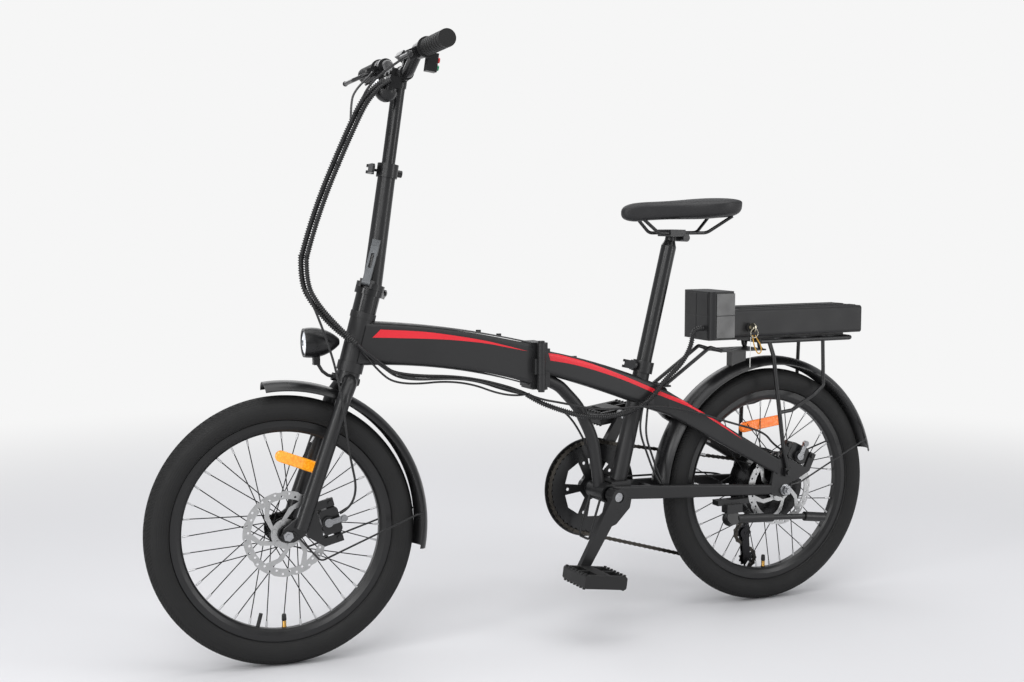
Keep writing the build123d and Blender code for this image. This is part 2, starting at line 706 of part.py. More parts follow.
def make_front_axle():
    shaft = axle(front_axle_r, -70, 70)
    pieces = [shaft]
    for side in (1, -1):
        nut = RegularPolygon(9.5, 6) - Circle(front_axle_r)
        n0, n1 = sorted((side * 58.1, side * 66))
        pieces.append(side_face(nut, n0, n1))
        lock = axle(7.5, side * 45.5, side * 50.9) - axle(front_axle_r, side * 40, side * 60)
        pieces.append(lock)
    return FRONT_WHEEL * group(*pieces)


fender_crown_r = 38.0
fender_r = 282.0
fender_half = 31.0


def make_fender(angle0, angle1):
    """Mudguard shell: an arched strip swept round the axle between two angles."""
    centre = fender_r - fender_crown_r
    strip = Pos(centre, 0) * (Circle(fender_crown_r) - Circle(fender_crown_r - 1.8))
    strip &= Pos(fender_r - 9, 0) * Rectangle(18.4, 2 * fender_half)
    shell = revolve(strip, Axis.Y, revolution_arc=angle1 - angle0)
    return Rot(0, -angle1, 0) * shell


def stay_wire(start, end, side):
    """Thin wire from a mudguard clip to a dropout, stepping out past the tyre."""
    return rod((start[0], side * start[1], start[2]), (end[0], side * end[1], end[2]), 1.8)


def make_front_fender():
    tilt = 90 - head_angle
    shell = make_fender(68.0, 191.0 - tilt)
    clip_x, clip_z = polar(fender_r - 16, 176.0 - tilt)
    wires = []
    for side in (1, -1):
        wires.append(bent_rod((
            (clip_x, side * 29.5, clip_z), (clip_x + 12, side * 38, clip_z - 4),
            (-70, side * 66, -33), (-8, side * 63, 9), (-8, side * 59, 9),
        ), 1.8, (8, 12, 2)))
    clip = block(-fork_rake - 8, -fork_rake + 8, -10, 10, fender_r - 8, head_low - 30)
    shell += clip - axle(fender_r - 1.0, -20, 20)
    return STEER * Pos(fork_rake, 0, 0) * (shell + wires)


lamp_x = 65.5               # lamp pivot ahead of the steering axis and along it
lamp_t = 321.6
lamp_r = 27.5
lens_r = 23.0


def make_light_bracket():
    """Bent strip from the crown bolt forward to the lamp's ear."""
    bolt_t = head_low - 16
    strip = bent_rod(((25, 0, bolt_t), (38, 0, bolt_t), (50, 0, bolt_t + 5), (63, 0, lamp_t - 2)), 3.2, (6, 10))
    ear = axle(6.5, -4.5, 4.5, lamp_x, lamp_t)
    nut = rod((24.2, 0, bolt_t), (30, 0, bolt_t), 7.5)
    return STEER * (strip + nut + ear - axle(2.5 + run_gap, -9, 9, lamp_x, lamp_t))


def make_headlight():
    """Bullet lamp with two ears and their pivot pin, and a separate lens."""
    half = make_face([
        Line((34, 0), (34, lamp_r - 0.5)), ThreePointArc((34, lamp_r - 0.5), (8, lamp_r), (-34, 6)),
        Line((-34, 6), (-34, 0)), Line((-34, 0), (34, 0)),
    ])
    body = revolve(half, Axis.X) - Pos(22, 0, 0) * Rot(0, 90, 0) * Cylinder(lens_r, 30)
    for side in (1, -1):
        y0, y1 = sorted((side * 5.0, side * 7.6))
        body += block(4, 16, y0, y1, -42, -22)
    body += axle(2.5, -9, 9, 10, -36)
    lens = Pos(20, 0, 0) * Rot(0, 90, 0) * Cylinder(lens_r - 0.1, 5)
    place = Pos(lamp_x, 0, lamp_t) * Rot(0, 90 - head_angle, 0) * Pos(-10, 0, 36)
    return STEER * place * group(body, lens)


# ---- disc calipers --------------------------------------------------------------
caliper_ear_t = 34.0        # the two ears either side of the caliper's middle


def make_caliper(rotor_y, angle_deg):
    """Cable caliper straddling the disc, with two pads, drawn on +X and turned to its angle."""
    y0, y1 = rotor_y - 14, rotor_y + 17
    body = block(66, 102, y0, y1, -24, 24)
    body = fillet(body.edges().filter_by(Axis.Y), 7)
    body -= block(60, 84, rotor_y - 3.4, rotor_y + 3.4, -30, 30)
    body -= block(60, 84, rotor_y - 5.4, rotor_y + 5.4, -13.5, 13.5)
    body += axle(11, y1, y1 + 6, 78, 0)
    body -= axle(4 + run_gap, rotor_y + 8, y1 + 7, 78, 0)
    bolts = []
    for z in (-caliper_ear_t, caliper_ear_t):
        body += block(84, 98, rotor_y + 4, rotor_y + 12, min(z, z * 0.6), max(z, z * 0.6))
        body += axle(7, rotor_y + 4, rotor_y + 12, 91, z)
        body -= axle(2.6, rotor_y + 2, rotor_y + 14, 91, z)
        bolts.append(axle(2.55, rotor_y + 5, rotor_y + 20, 91, z) + axle(4.5, rotor_y + 20, rotor_y + 24, 91, z))
    pads = []
    for side in (1, -1):
        a, b = sorted((rotor_y + side * 1.3, rotor_y + side * 5.3))
        pads.append(block(67, 83.8, a, b, -13.3, 13.3))
    return Rot(0, -angle_deg, 0) * group(body, *pads, *bolts)


def make_caliper_arm(rotor_y, angle_deg):
    """Actuating arm turning on the caliper's spindle."""
    y = rotor_y + 17 + 6.3
    arm = axle(8, y, y + 5, 78, 0) + axle(4, rotor_y + 10, y + 1, 78, 0)
    arm += block(78, 108, y, y + 5, -5, 5) + axle(6, y, y + 8, 108, 0)
    return Rot(0, -angle_deg, 0) * arm


def caliper_bracket(rotor_y, angle_deg, root_r=34.0):
    """Two-pronged plate outboard of the disc that carries the caliper's ears."""
    outline = make_face(Polyline(
        (root_r, -14), (60, -42), (98, -42), (98, -27.5), (63, -27.5),
        (63, 27.5), (98, 27.5), (98, 42), (60, 42), (root_r, 14), close=True,
    ))
    outline -= [Pos(91, z) * Circle(2.7) for z in (-caliper_ear_t, caliper_ear_t)]
    plate = side_face(outline, rotor_y + 12.1, rotor_y + 19.9)
    return Rot(0, -angle_deg, 0) * plate


front_caliper_angle = 150.0
rear_caliper_angle = 116.0


# ---- stem, post and bar ---------------------------------------------------------
fold_deg = 60.0             # the latch stands this far round to the left of straight ahead
fold_reach = 31.0           # pin and latch from the steering axis
stem_plate_r = 27.0
stem_plate_t = 11.0
stem_pin_r = 4.0
stem_knuckle_r = 7.5
FOLD = Rot(0, 0, fold_deg)


def make_stem_base():
    """Clamp tube on the steerer with the lower plate of the post's hinge and its pin."""
    top = stem_hinge_h - seat_gap / 2
    base = rod((0, 0, head_high + 0.3), (0, 0, top - 8), head_tube_r)
    base += rod((0, 0, top - stem_plate_t), (0, 0, top), stem_plate_r)
    for side in (1, -1):
        y0, y1 = sorted((side * 10.15, side * 24))
        base += FOLD * block(-fold_reach, -10, y0, y1, top - stem_plate_t, top)
        base += FOLD * axle(stem_knuckle_r, y0, y1, -fold_reach, stem_hinge_h)
    base -= FOLD * axle(stem_knuckle_r + 0.6, -10.15, 10.15, -fold_reach, stem_hinge_h)
    base += FOLD * axle(stem_pin_r, -26, 26, -fold_reach, stem_hinge_h)
    base -= rod((0, 0, head_high), (0, 0, stem_hinge_h - 19), steerer_r + run_gap)
    return STEER * base


def make_handlepost():
    """Folding post: hinge plate, tapering tube and the clamp collar with its skewer."""
    low = stem_hinge_h + seat_gap / 2
    plate = rod((0, 0, low), (0, 0, low + stem_plate_t), stem_plate_r)
    plate += FOLD * block(-fold_reach, -10, -9.85, 9.85, low, low + stem_plate_t)
    plate += FOLD * axle(stem_knuckle_r, -9.85, 9.85, -fold_reach, stem_hinge_h)
    for side in (1, -1):
        y0, y1 = sorted((side * 9.85, side * 26.5))
        plate -= FOLD * axle(stem_knuckle_r + 0.6, y0, y1, -fold_reach, stem_hinge_h)
        y0, y1 = sorted((side * 8.7, side * 12.5))
        ear = block(18, fold_reach + 5, y0, y1, low, stem_hinge_h + 16)
        plate += FOLD * ear
    plate -= FOLD * axle(stem_pin_r + run_gap, -11, 11, -fold_reach, stem_hinge_h)
    plate -= FOLD * axle(7.2, -8.6, 8.6, fold_reach, stem_hinge_h + 10)
    plate += FOLD * axle(3.0, -12.5, 12.5, fold_reach, stem_hinge_h + 10)
    cone = Cone(post_base_r, post_top_r, post_length, align=(Align.CENTER, Align.CENTER, Align.MIN))
    collar = rod((0, 0, post_length - 26), (0, 0, post_length), post_top_r + 3.6)
    collar += block(-13, 13, -28, -10, post_length - 23, post_length - 3)
    collar += rod((-34, -22, post_length - 13), (26, -22, post_length - 13), 2.7)
    collar += rod((-34, -22, post_length - 13), (-24, -22, post_length - 13), 7.0)
    collar += Pos(28, -22, post_length - 13) * make_cam_eye()
    bore = rod((0, 0, 45), (0, 0, post_length + 1), upper_r + run_gap)
    slot = block(-1.2, 1.2, -40, 0, post_length - 40, post_length + 1)
    post = POST * (cone + collar - bore - (slot & block(-2, 2, -21.5, -10, 0, 400)))
    return post + STEER * plate - STEER * rod((0, 0, low - 60), (0, 0, low), 26)


def make_cam_eye():
    """Eye and cross pin at the end of a quick-release skewer."""
    return Cylinder(4.0, 6.4) + Cylinder(2.5, 17.6)


def make_cam_lever(length):
    """Quick-release lever about Z: two cam lobes and a flat handle toward +Y."""
    lever = block(2.0, 6.5, 9, length - 8, -8.7, 8.7)
    lever += Pos(4.25, length - 8, 0) * Rot(0, 90, 0) * Cylinder(8.7, 4.5)
    for z0, z1 in ((-8.7, -3.3), (3.3, 8.7)):
        lever += Pos(0, 0, (z0 + z1) / 2) * Cylinder(8.0, z1 - z0)
        lever += block(0, 6.5, 0, 12, z0, z1)
    return lever - Cylinder(2.5 + run_gap, 30)


def make_stem_latch():
    """Lever standing up the front left of the post, with a long finger slot."""
    z = stem_hinge_h + 10
    lever = axle(6.5, -8.4, 8.4, fold_reach, z)
    lever += block(fold_reach + 1, fold_reach + 6, -7.5, 7.5, z, z + 70)
    lever += Pos(fold_reach + 2.6, 0, z + 68) * Rot(0, 9, 0) * Box(5, 15, 30)
    lever -= block(fold_reach, fold_reach + 8, -3.2, 3.2, z + 28, z + 56)
    return STEER * FOLD * (lever - axle(3.0 + run_gap, -20, 20, fold_reach, z))


def make_upper_post():
    """Sliding tube with the bar clamp on top."""
    post = rod((0, 0, upper_low), (0, 0, upper_high), upper_r)
    clamp = axle(bar_r + 4.5, -21, 21, 0, upper_high) + rod((0, 0, upper_high - 24), (0, 0, upper_high), upper_r + 2)
    clamp += block(8, 22, -21, 21, upper_high - 9, upper_high + 9)
    post += clamp
    post -= rod((0, 0, upper_low - 1), (0, 0, upper_high - 20), upper_r - 2.2)
    post -= axle(bar_r + run_gap, -40, 40, 0, upper_high)
    for y in (-13, 13):
        post += rod((21, y, upper_high), (25, y, upper_high), 4)
    return POST * post


BAR = POST * Pos(0, 0, upper_high)


def make_handlebar():
    half = ((0, bar_half, bar_rise), (0, 105, bar_rise), (0, 58, 0))
    points = [*half, *[(x, -y, z) for x, y, z in reversed(half)]]
    path = FilletPolyline(*points, radius=25)
    bar = sweep(Plane(origin=path @ 0, z_dir=path % 0) * Circle(bar_r), path)
    return BAR * bar


def make_grips():
    grips = []
    for side in (1, -1):
        y0, y1 = side * (bar_half + 3 - grip_length), side * (bar_half + 3)
        grip = axle(grip_r, y0, y1)
        for k in range(7):
            y = side * (bar_half - 12 - k * 14)
            ring = axle(grip_r + 1, y - 1.5, y + 1.5) - axle(grip_r - 1.0, y - 2, y + 2)
            grip -= ring
        grip += axle(grip_r + 3, y0, y0 + side * 4)
        grip -= axle(bar_r + run_gap, y0 - side, side * (bar_half + 0.2))
        grips.append(Pos(0, 0, bar_rise) * grip)
    return BAR * group(*grips)


lever_y = 148.0
lever_down = 32.0           # brake levers slope down and forward


def make_bar_controls():
    """Brake perches, shifter, switch box, display, reflector and bell, all clamped on the bar."""
    pieces = []
    for side in (1, -1):
        y = side * lever_y
        ring = axle(16, y - 8, y + 8) - axle(bar_r + run_gap, y - 10, y + 10)
        perch = block(12, 34, y - 6.5, y + 6.5, -9, 9)
        perch -= block(20, 36, y - 8, y + 8, -4.6, 4.6)
        perch += Pos(27, y, 0) * Cylinder(2.5, 18)
        pieces.append(Pos(0, 0, bar_rise) * Rot(0, lever_down, 0) * (ring + perch))
    box = axle(15.5, 120, 136) - axle(bar_r + run_gap, 118, 138)
    box += block(-32, -12, 119, 137, -36, -2)
    for z in button_z:
        box -= rod((-33, 128, z), (-27.0, 128, z), 5.0 + run_gap)
    pieces.append(Pos(0, 0, bar_rise) * box)
    shifter = axle(15.5, -136, -121) - axle(bar_r + run_gap, -138, -119)
    shifter += block(2, 15, -136, -121, -30, -11) + Pos(22, -128, -34) * Rot(0, 35, 0) * Box(30, 9, 4)
    pieces.append(Pos(0, 0, bar_rise) * shifter)
    display = axle(14, 26, 36) - axle(bar_r + run_gap, 24, 38)
    display += Pos(0, 31, 27) * Rot(0, -28, 0) * Box(34, 46, 10) + block(-6, 6, 26, 36, 12.5, 26)
    pieces.append(display)
    reflector = axle(14, -36, -28) - axle(bar_r + run_gap, -38, -26)
    reflector += block(12, 34, -36, -28, -22, -8) + block(32, 36, -48, -16, -36, -12)
    pieces.append(reflector)
    bell = axle(14, 38, 48) - axle(bar_r + run_gap, 36, 50)
    bell += block(8, 30, 39, 47, -32, -10)
    dome = Pos(34, 43, -40) * (Sphere(21) - Sphere(18.5) - block(-30, 30, -30, 30, 0, 30))
    dome += Pos(34, 43, -40) * (Cylinder(3, 21, align=(Align.CENTER, Align.CENTER, Align.MAX)))
    bell += dome + Pos(34, 43, -36) * Cylinder(6, 10) + block(24, 36, 39, 47, -40, -28)
    pieces.append(bell)
    return BAR * group(*pieces)


def make_brake_lever(side):
    """Blade with an eye on the perch's pin, curving out along the grip."""
    y = side * lever_y
    eye = Pos(27, y, 0) * Cylinder(6.5, 8.8)
    blade = bent_rod((
        (27, y, 0), (44, y + side * 4, 0), (56, y + side * 34, 0), (58, y + side * 96, 0),
    ), 4.2, (8, 20))
    blade += Pos(58, y + side * 96, 0) * Sphere(5.5)
    lever = eye + blade + block(22, 32, min(y, y - side * 7), max(y, y - side * 7), -3.5, 3.5)
    lever -= Pos(27, y, 0) * Cylinder(2.5 + run_gap, 20)
    return BAR * Pos(0, 0, bar_rise) * Rot(0, lever_down, 0) * lever


button_z = (-13.0, -27.0)


def make_button(z):
    """Push button in its pocket in the rear of the switch box."""
    return BAR * rod((-36.5, 128, bar_rise + z), (-29.5, 128, bar_rise + z), 5.0)


# ---- saddle ---------------------------------------------------------------------
SEAT = Plane(
    origin=on_seat_axis(525.0), x_dir=(seat_dir[1], 0, -seat_dir[0]), z_dir=(seat_dir[0], 0, seat_dir[1]),
).location


def make_seat_clamp():
    """Collar round the seat tube with a skewer on its right side."""
    collar = Pos(0, 0, 1) * Cylinder(22.0, 24) + block(-13, 13, -30, -14, -10, 11)
    collar -= Cylinder(seat_tube_r + run_gap, 60)
    collar -= block(-1.2, 1.2, -27, -10, -20, 20)
    collar += rod((-34, -24, 0), (24, -24, 0), 2.7) + rod((-34, -24, 0), (-25, -24, 0), 7.0)
    collar += Pos(26, -24, 0) * make_cam_eye()
    return SEAT * collar


rail_r = 3.5
rail_y = 20.0


def make_seatpost():
    """Tube with a drawn-in neck, and a two-part clamp that holds the saddle's rails."""
    low, high = Vector(*on_seat_axis(seatpost_low_z)), Vector(*on_seat_axis(775))
    neck, top = Vector(*on_seat_axis(787)), Vector(*on_seat_axis(seatpost_high_z))
    post = rod(low, high, seatpost_r)
    length = (neck - high).length
    post += Plane(origin=high, z_dir=neck - high) * Cone(
        seatpost_r, 11.0, length, align=(Align.CENTER, Align.CENTER, Align.MIN))
    post += rod(neck, top, 11.0)
    post -= rod(low - Vector(0, 0, 1), Vector(*on_seat_axis(770)), seatpost_r - 2.6)
    x, _, z = on_seat_axis(803)
    post += block(x - 18, x + 18, -rail_y - 6, rail_y + 6, z - 7, z + 7)
    post += axle(8, -27, 27, x - 20, z - 10) + block(x - 20, x, -12, 12, z - 16, z)
    for side in (1, -1):
        post -= rod((x - 60, side * rail_y, z), (x + 60, side * rail_y, z), rail_r + run_gap)
    return post


def make_saddle_rails(radius=rail_r):
    z = on_seat_axis(803)[2]
    rails = []
    for side in (1, -1):
        rails.append(bent_rod((
            (318, side * 12, 832), (286, side * rail_y, z), (170, side * rail_y, z), (122, side * 44, 838),
        ), radius, (22, 22)))
    return group(*rails)


def make_saddle():
    """Padded saddle: wide at the tail, long narrow nose; hollow underneath for the rails."""
    stations = (
        (96, 96, 22, 851), (108, 140, 38, 851), (140, 164, 50, 851), (180, 146, 49, 850), (225, 92, 42, 849),
        (275, 58, 38, 847), (325, 46, 34, 846), (352, 36, 27, 845), (363, 18, 13, 845),
    )
    sections = []
    for x, w, h, z in stations:
        plane = Plane(origin=(x, 0, z), x_dir=(0, 1, 0), z_dir=(1, 0, 0))
        sections.append(plane * RectangleRounded(w, h, h * 0.46))
    pad = loft(sections)
    pad -= block(160, 300, -12, 12, 815, 836)
    pad -= make_saddle_rails(rail_r + 0.1)
    return pad


# ---- rack, battery and stand ----------------------------------------------------
strut_foot = (266.0, 490.0)  # where the rack's front struts plug into the beam


def make_rear_rack():
    """Tubular rack: loop, cross bars, holed front plate, two front struts and four legs."""
    x0, x1, z = -194.0, 46.0, rack_z
    loop = bent_rod((
        (x1, rack_half, z), (x0 + 6, rack_half, z), (x0, rack_half - 6, z), (x0, -rack_half + 6, z),
        (x0 + 6, -rack_half, z), (x1, -rack_half, z),
    ), rack_tube_r, 3)
    rack = loop
    for x in (x1 - 4, -50, -130):
        rack += axle(3.8, -rack_half, rack_half, x, z)
    plate = block(26, 140, -36, 36, 551.5, 554.5)
    for x in range(42, 130, 20):
        for y in (-16, 0, 16):
            plate -= Pos(x, y, 553) * Cylinder(5, 8)
    rack += plate
    for side in (1, -1):
        rack += bent_rod(((x1 - 4, side * 30, z), (40, side * 30, 560), (34, side * 30, 553)), 4.0, 3)
        rack += bent_rod(((130, side * 22, 553), (160, side * 22, 562), (strut_foot[0], side * 22, strut_foot[1])), 4.0, 8)
        rack += bent_rod((
            (24, side * rack_half, z), (21, side * 56, 540), (10, side * 80, 350), (-2, side * 80.5, 304),
            (-2.6, side * 80.5, 292),
        ), 4.5, (10, 20, 3))
        foot = block(-10, 5, side * 75.3, side * 84, 284, 302)
        foot += axle(2.4, side * 71, side * 88, -2.6, 292) + axle(5.5, side * 83, side * 88, -2.6, 292)
        rack += foot
        rack += bent_rod((
            (-117, side * rack_half, z), (-117, side * 48, 470), (-88, side * 54, 452), (-18, side * 71, 424),
            (13, side * 71.5, 421),
        ), 4.0, (8, 14, 6))
    return rack


def make_battery_dock():
    """Controller housing in front of the battery with its contact block, and the rail under it."""
    body = block(battery_x1 + seat_gap, dock_x1, -dock_half, dock_half, dock_z0, dock_z1)
    body = fillet(body.edges().filter_by(Axis.Z), 12)
    body -= block(battery_x1, dock_x1 - 14, -30, 30, 600, 625)
    body += block(battery_x1 - 8, dock_x1 - 14, -24, 24, 603, 622)
    body -= block(130, 168, -44, 44, 632, 672)
    rail = block(-182, 168, -30, 30, dock_z0 - 3.4, battery_z0 - seat_gap)
    return body + rail


def make_battery():
    """Hollow case with lock boss and carrying ridge, and the cells inside it."""
    x0, x1, w = battery_x0, battery_x1, battery_half
    case = block(x0, x1, -w, w, battery_z0, battery_z1)
    case = fillet(case.edges().filter_by(Axis.X), 7)
    case -= block(x0 + 4, x1 - 10, -w + 3, w - 3, battery_z0 + 3, battery_z1 - 3)
    case -= block(x1 - 9, x1 + 1, -24.4, 24.4, 602.6, 622.4)
    case += block(x0 + 20, x1 - 20, -12, 12, battery_z1 - 1, battery_z1 + 3)
    case += axle(9, w - 4, w + 4, key_x, key_z)
    case -= axle(4 + run_gap, w - 5, w + 5, key_x, key_z)
    cells = []
    for i in range(16):
        for z in (597.0, 615.4):
            cells.append(axle(9.35, -33, 33, x0 + 20 + 18.6 * i, z))
    tray = block(x0 + 8, x1 - 24, -34, 34, battery_z0 + 3.1, battery_z0 + 6)
    return group(case, tray + cells)


key_x = 80.0
key_z = 604.0


def make_battery_key():
    """Key in the lock with its ring."""
    w = battery_half
    key = axle(4, w - 3, w + 6, key_x, key_z)
    bow = Pos(key_x, w + 14, key_z) * Rot(0, 90, 0) * Cylinder(10, 3)
    key += bow + block(key_x - 1.5, key_x + 1.5, w + 4, w + 8, key_z - 4, key_z + 4)
    key -= Pos(key_x, w + 19, key_z) * Rot(0, 90, 0) * Cylinder(3, 5)
    ring = Pos(key_x, w + 19, key_z - 11.25) * Rot(90, 0, 0) * Torus(9.3, 0.9)
    return group(key, ring)


stand_pivot = (134.0, 72.0, 203.0)
stand_axis = Vector(-0.056, -0.94, -0.33).normalized()
STAND = Plane(origin=stand_pivot, x_dir=Vector(-0.97, -0.036, 0.267), z_dir=stand_axis).location


def make_kickstand_mount():
    """Clamp under the left chainstay that carries the stand's pivot."""
    clamp = block(92, 168, 52, 74, 232, 243)
    clamp += block(112, 150, 60, 82, 216, 234)
    cheek = STAND * Pos(0, 0, -9.2) * Cylinder(15, 5) + STAND * Pos(0, 0, 9.2) * Cylinder(15, 5)
    mount = clamp + cheek
    mount -= STAND * Cylinder(17, 13.4)
    mount += STAND * Cylinder(4, 22)
    return mount


def make_kickstand():
    """Hub, tapering leg, telescopic rod and rubber foot, folded back along the wheel."""
    hub = STAND * (Cylinder(14, 13) - Cylinder(4 + run_gap, 20))
    leg = rod((122, 78, 202), (40, 88, 200), 9.5)
    leg += rod((40, 88, 200), (-36, 97, 197), 6.0)
    leg += rod((-36, 97, 197), (-84, 99, 191), 10.0)
    leg -= STAND * Cylinder(4 + run_gap, 30)
    leg -= STAND * Pos(0, 0, 9.2) * Cylinder(16, 5.4)
    leg -= STAND * Pos(0, 0, -9.2) * Cylinder(16, 5.4)
    return hub + leg


# ---- derailleur -----------------------------------------------------------------
def make_derailleur():
    """Hanger link, body and cage with two jockey wheels on fixed pins."""
    gx, gz = guide_jockey
    tx, tz = tension_jockey
    cage_shape = make_face(Polyline((gx - 9, gz + 8), (gx + 9, gz + 8), (tx + 9, tz - 8), (tx - 9, tz - 8), close=True))
    cage_shape += Pos(gx, gz) * Circle(12) + Pos(tx, tz) * Circle(12)
    body = None
    for y0, y1 in ((chain_y + 4.0, chain_y + 5.8), (chain_y - 5.8, chain_y - 4.0)):
        plate = side_face(cage_shape, y0, y1)
        body = plate if body is None else body + plate
    for x, z in (guide_jockey, tension_jockey):
        body += axle(3.0, chain_y - 7, chain_y + 7, x, z)
    body += axle(11, chain_y - 16, chain_y - 5, gx - 6, gz + 8)
    body += rod((gx - 6, chain_y - 12, gz + 8), (-4, -66, 172), 8)
    body += rod((-4, -66, 172), (-2, -72, 214), 7)
    body += axle(9, -82, -75.2, 4, 246 - 14) + block(-6, 8, -82, -66, 206, 236)
    body -= block(-20, 30, -75.2, -60, 230, 260)
    return group(body, make_jockey(guide_jockey), make_jockey(tension_jockey))


# ---- rear mudguard --------------------------------------------------------------
def make_rear_fender():
    shell = make_fender(5.3, 167.5)
    top = block(60, 96, -10, 10, fender_r - 24, 551.3 - wheel_radius)
    shell += top - axle(fender_r - 1.0, -40, 40)
    end_x, end_z = polar(fender_r - 16, 160)
    for side in (1, -1):
        shell += bent_rod((
            (end_x, side * 29.5, end_z), (end_x + 10, side * 40, end_z - 4), (-40, side * 77.3, 14),
            (-13, side * 77.3, 10),
        ), 1.8, (6, 14))
    return REAR_WHEEL * shell


# ---- cables ---------------------------------------------------------------------
cord_r = 4.6
wire_r = 2.2


def on_lever(x, y, z=0.0):
    """A point given in the brake perches' own directions."""
    return tuple((BAR * Pos(0, 0, bar_rise) * Rot(0, lever_down, 0) * Pos(x, y, z)).position)


def on_caliper(wheel, angle_deg, x, y, z):
    """A point given in a caliper's own directions."""
    return tuple((wheel * Rot(0, -angle_deg, 0) * Pos(x, y, z)).position)


def make_bar_cables():
    """From the bar forward and down in a long loop to the front of the head tube."""
    main = cord("bar bundle", ((888, 34, 1090), (922, 36, 1072), (961, 32, 998), (1030, 30, 842),
                               (1051, 28, 762)), cord_r)
    left = cord("left lever lead", (on_lever(27, lever_y - 8), on_lever(28, 112), (930, 76, 1084), (944, 50, 1042),
                                    (951, 42, 1028)), wire_r)
    right = cord("right lever lead", (on_lever(27, 8 - lever_y), on_lever(29, -104), (912, -70, 1078), (936, -20, 1046),
                                      (950, 20, 1010)), wire_r)
    return group(main, left, right)


def make_head_cables():
    """From the loop's foot back past the lamp to the head tube's left side."""
    main = cord("head bundle", ((1051.3, 28, 761), (1053, 28, 720), (1030, 33, 676), (985, 38, 626),
                                (950.4, 39, 604)), cord_r)
    brake = cord("front brake lead", (
        (1046, 40, 708), (1008, 54, 612), (990, 78, 500), (984, 84, 420),
        on_caliper(FRONT_WHEEL, front_caliper_angle, 146, front_rotor_y + 14, -12),
        on_caliper(FRONT_WHEEL, front_caliper_angle, 102.4, front_rotor_y + 8.5, -6),
    ), wire_r)
    return group(main, brake)


def make_main_cables():
    """Under the main tube from the head tube to the frame hinge."""
    return cord("main bundle", ((949.2, 38.9, 602.9), (900, 34, 556), (850, 24, 536), (720, 18, 527),
                                (612, 12, 498), (582, 6, 484)), cord_r)


def make_rear_cables():
    """From the frame hinge along the beam to the battery, the rear brake and the derailleur."""
    main = cord("rear bundle", ((580.4, 5.68, 483.25), (554, 0.4, 470.9), (528, 24, 470), (512, 34, 500), (470, 34, 568), (345, 34, 530),
                                (262, 37, 502), (214, 36, 520), (207, 26, 604), (180.5, 26, 604)), cord_r)
    brake = cord("rear brake lead", (
        (516, 40, 490), (420, 37, 446), (330, 50, 452), (240, 70, 440), (150, 80, 410), (60, 82, 384),
        on_caliper(REAR_WHEEL, rear_caliper_angle, 76, rear_rotor_y + 9, -62),
        on_caliper(REAR_WHEEL, rear_caliper_angle, 74, rear_rotor_y + 8.5, -24.4),
    ), wire_r)
    gear = cord("gear lead", ((520, -24, 482), (470, -24, 436), (428, -28, 372), (398, -34, 300), (340, -38, 290),
                              (250, -47, 286), (120, -64, 279), (40, -80.5, 262), (14, -80.5, 226)), wire_r)
    return group(main, brake, gear)


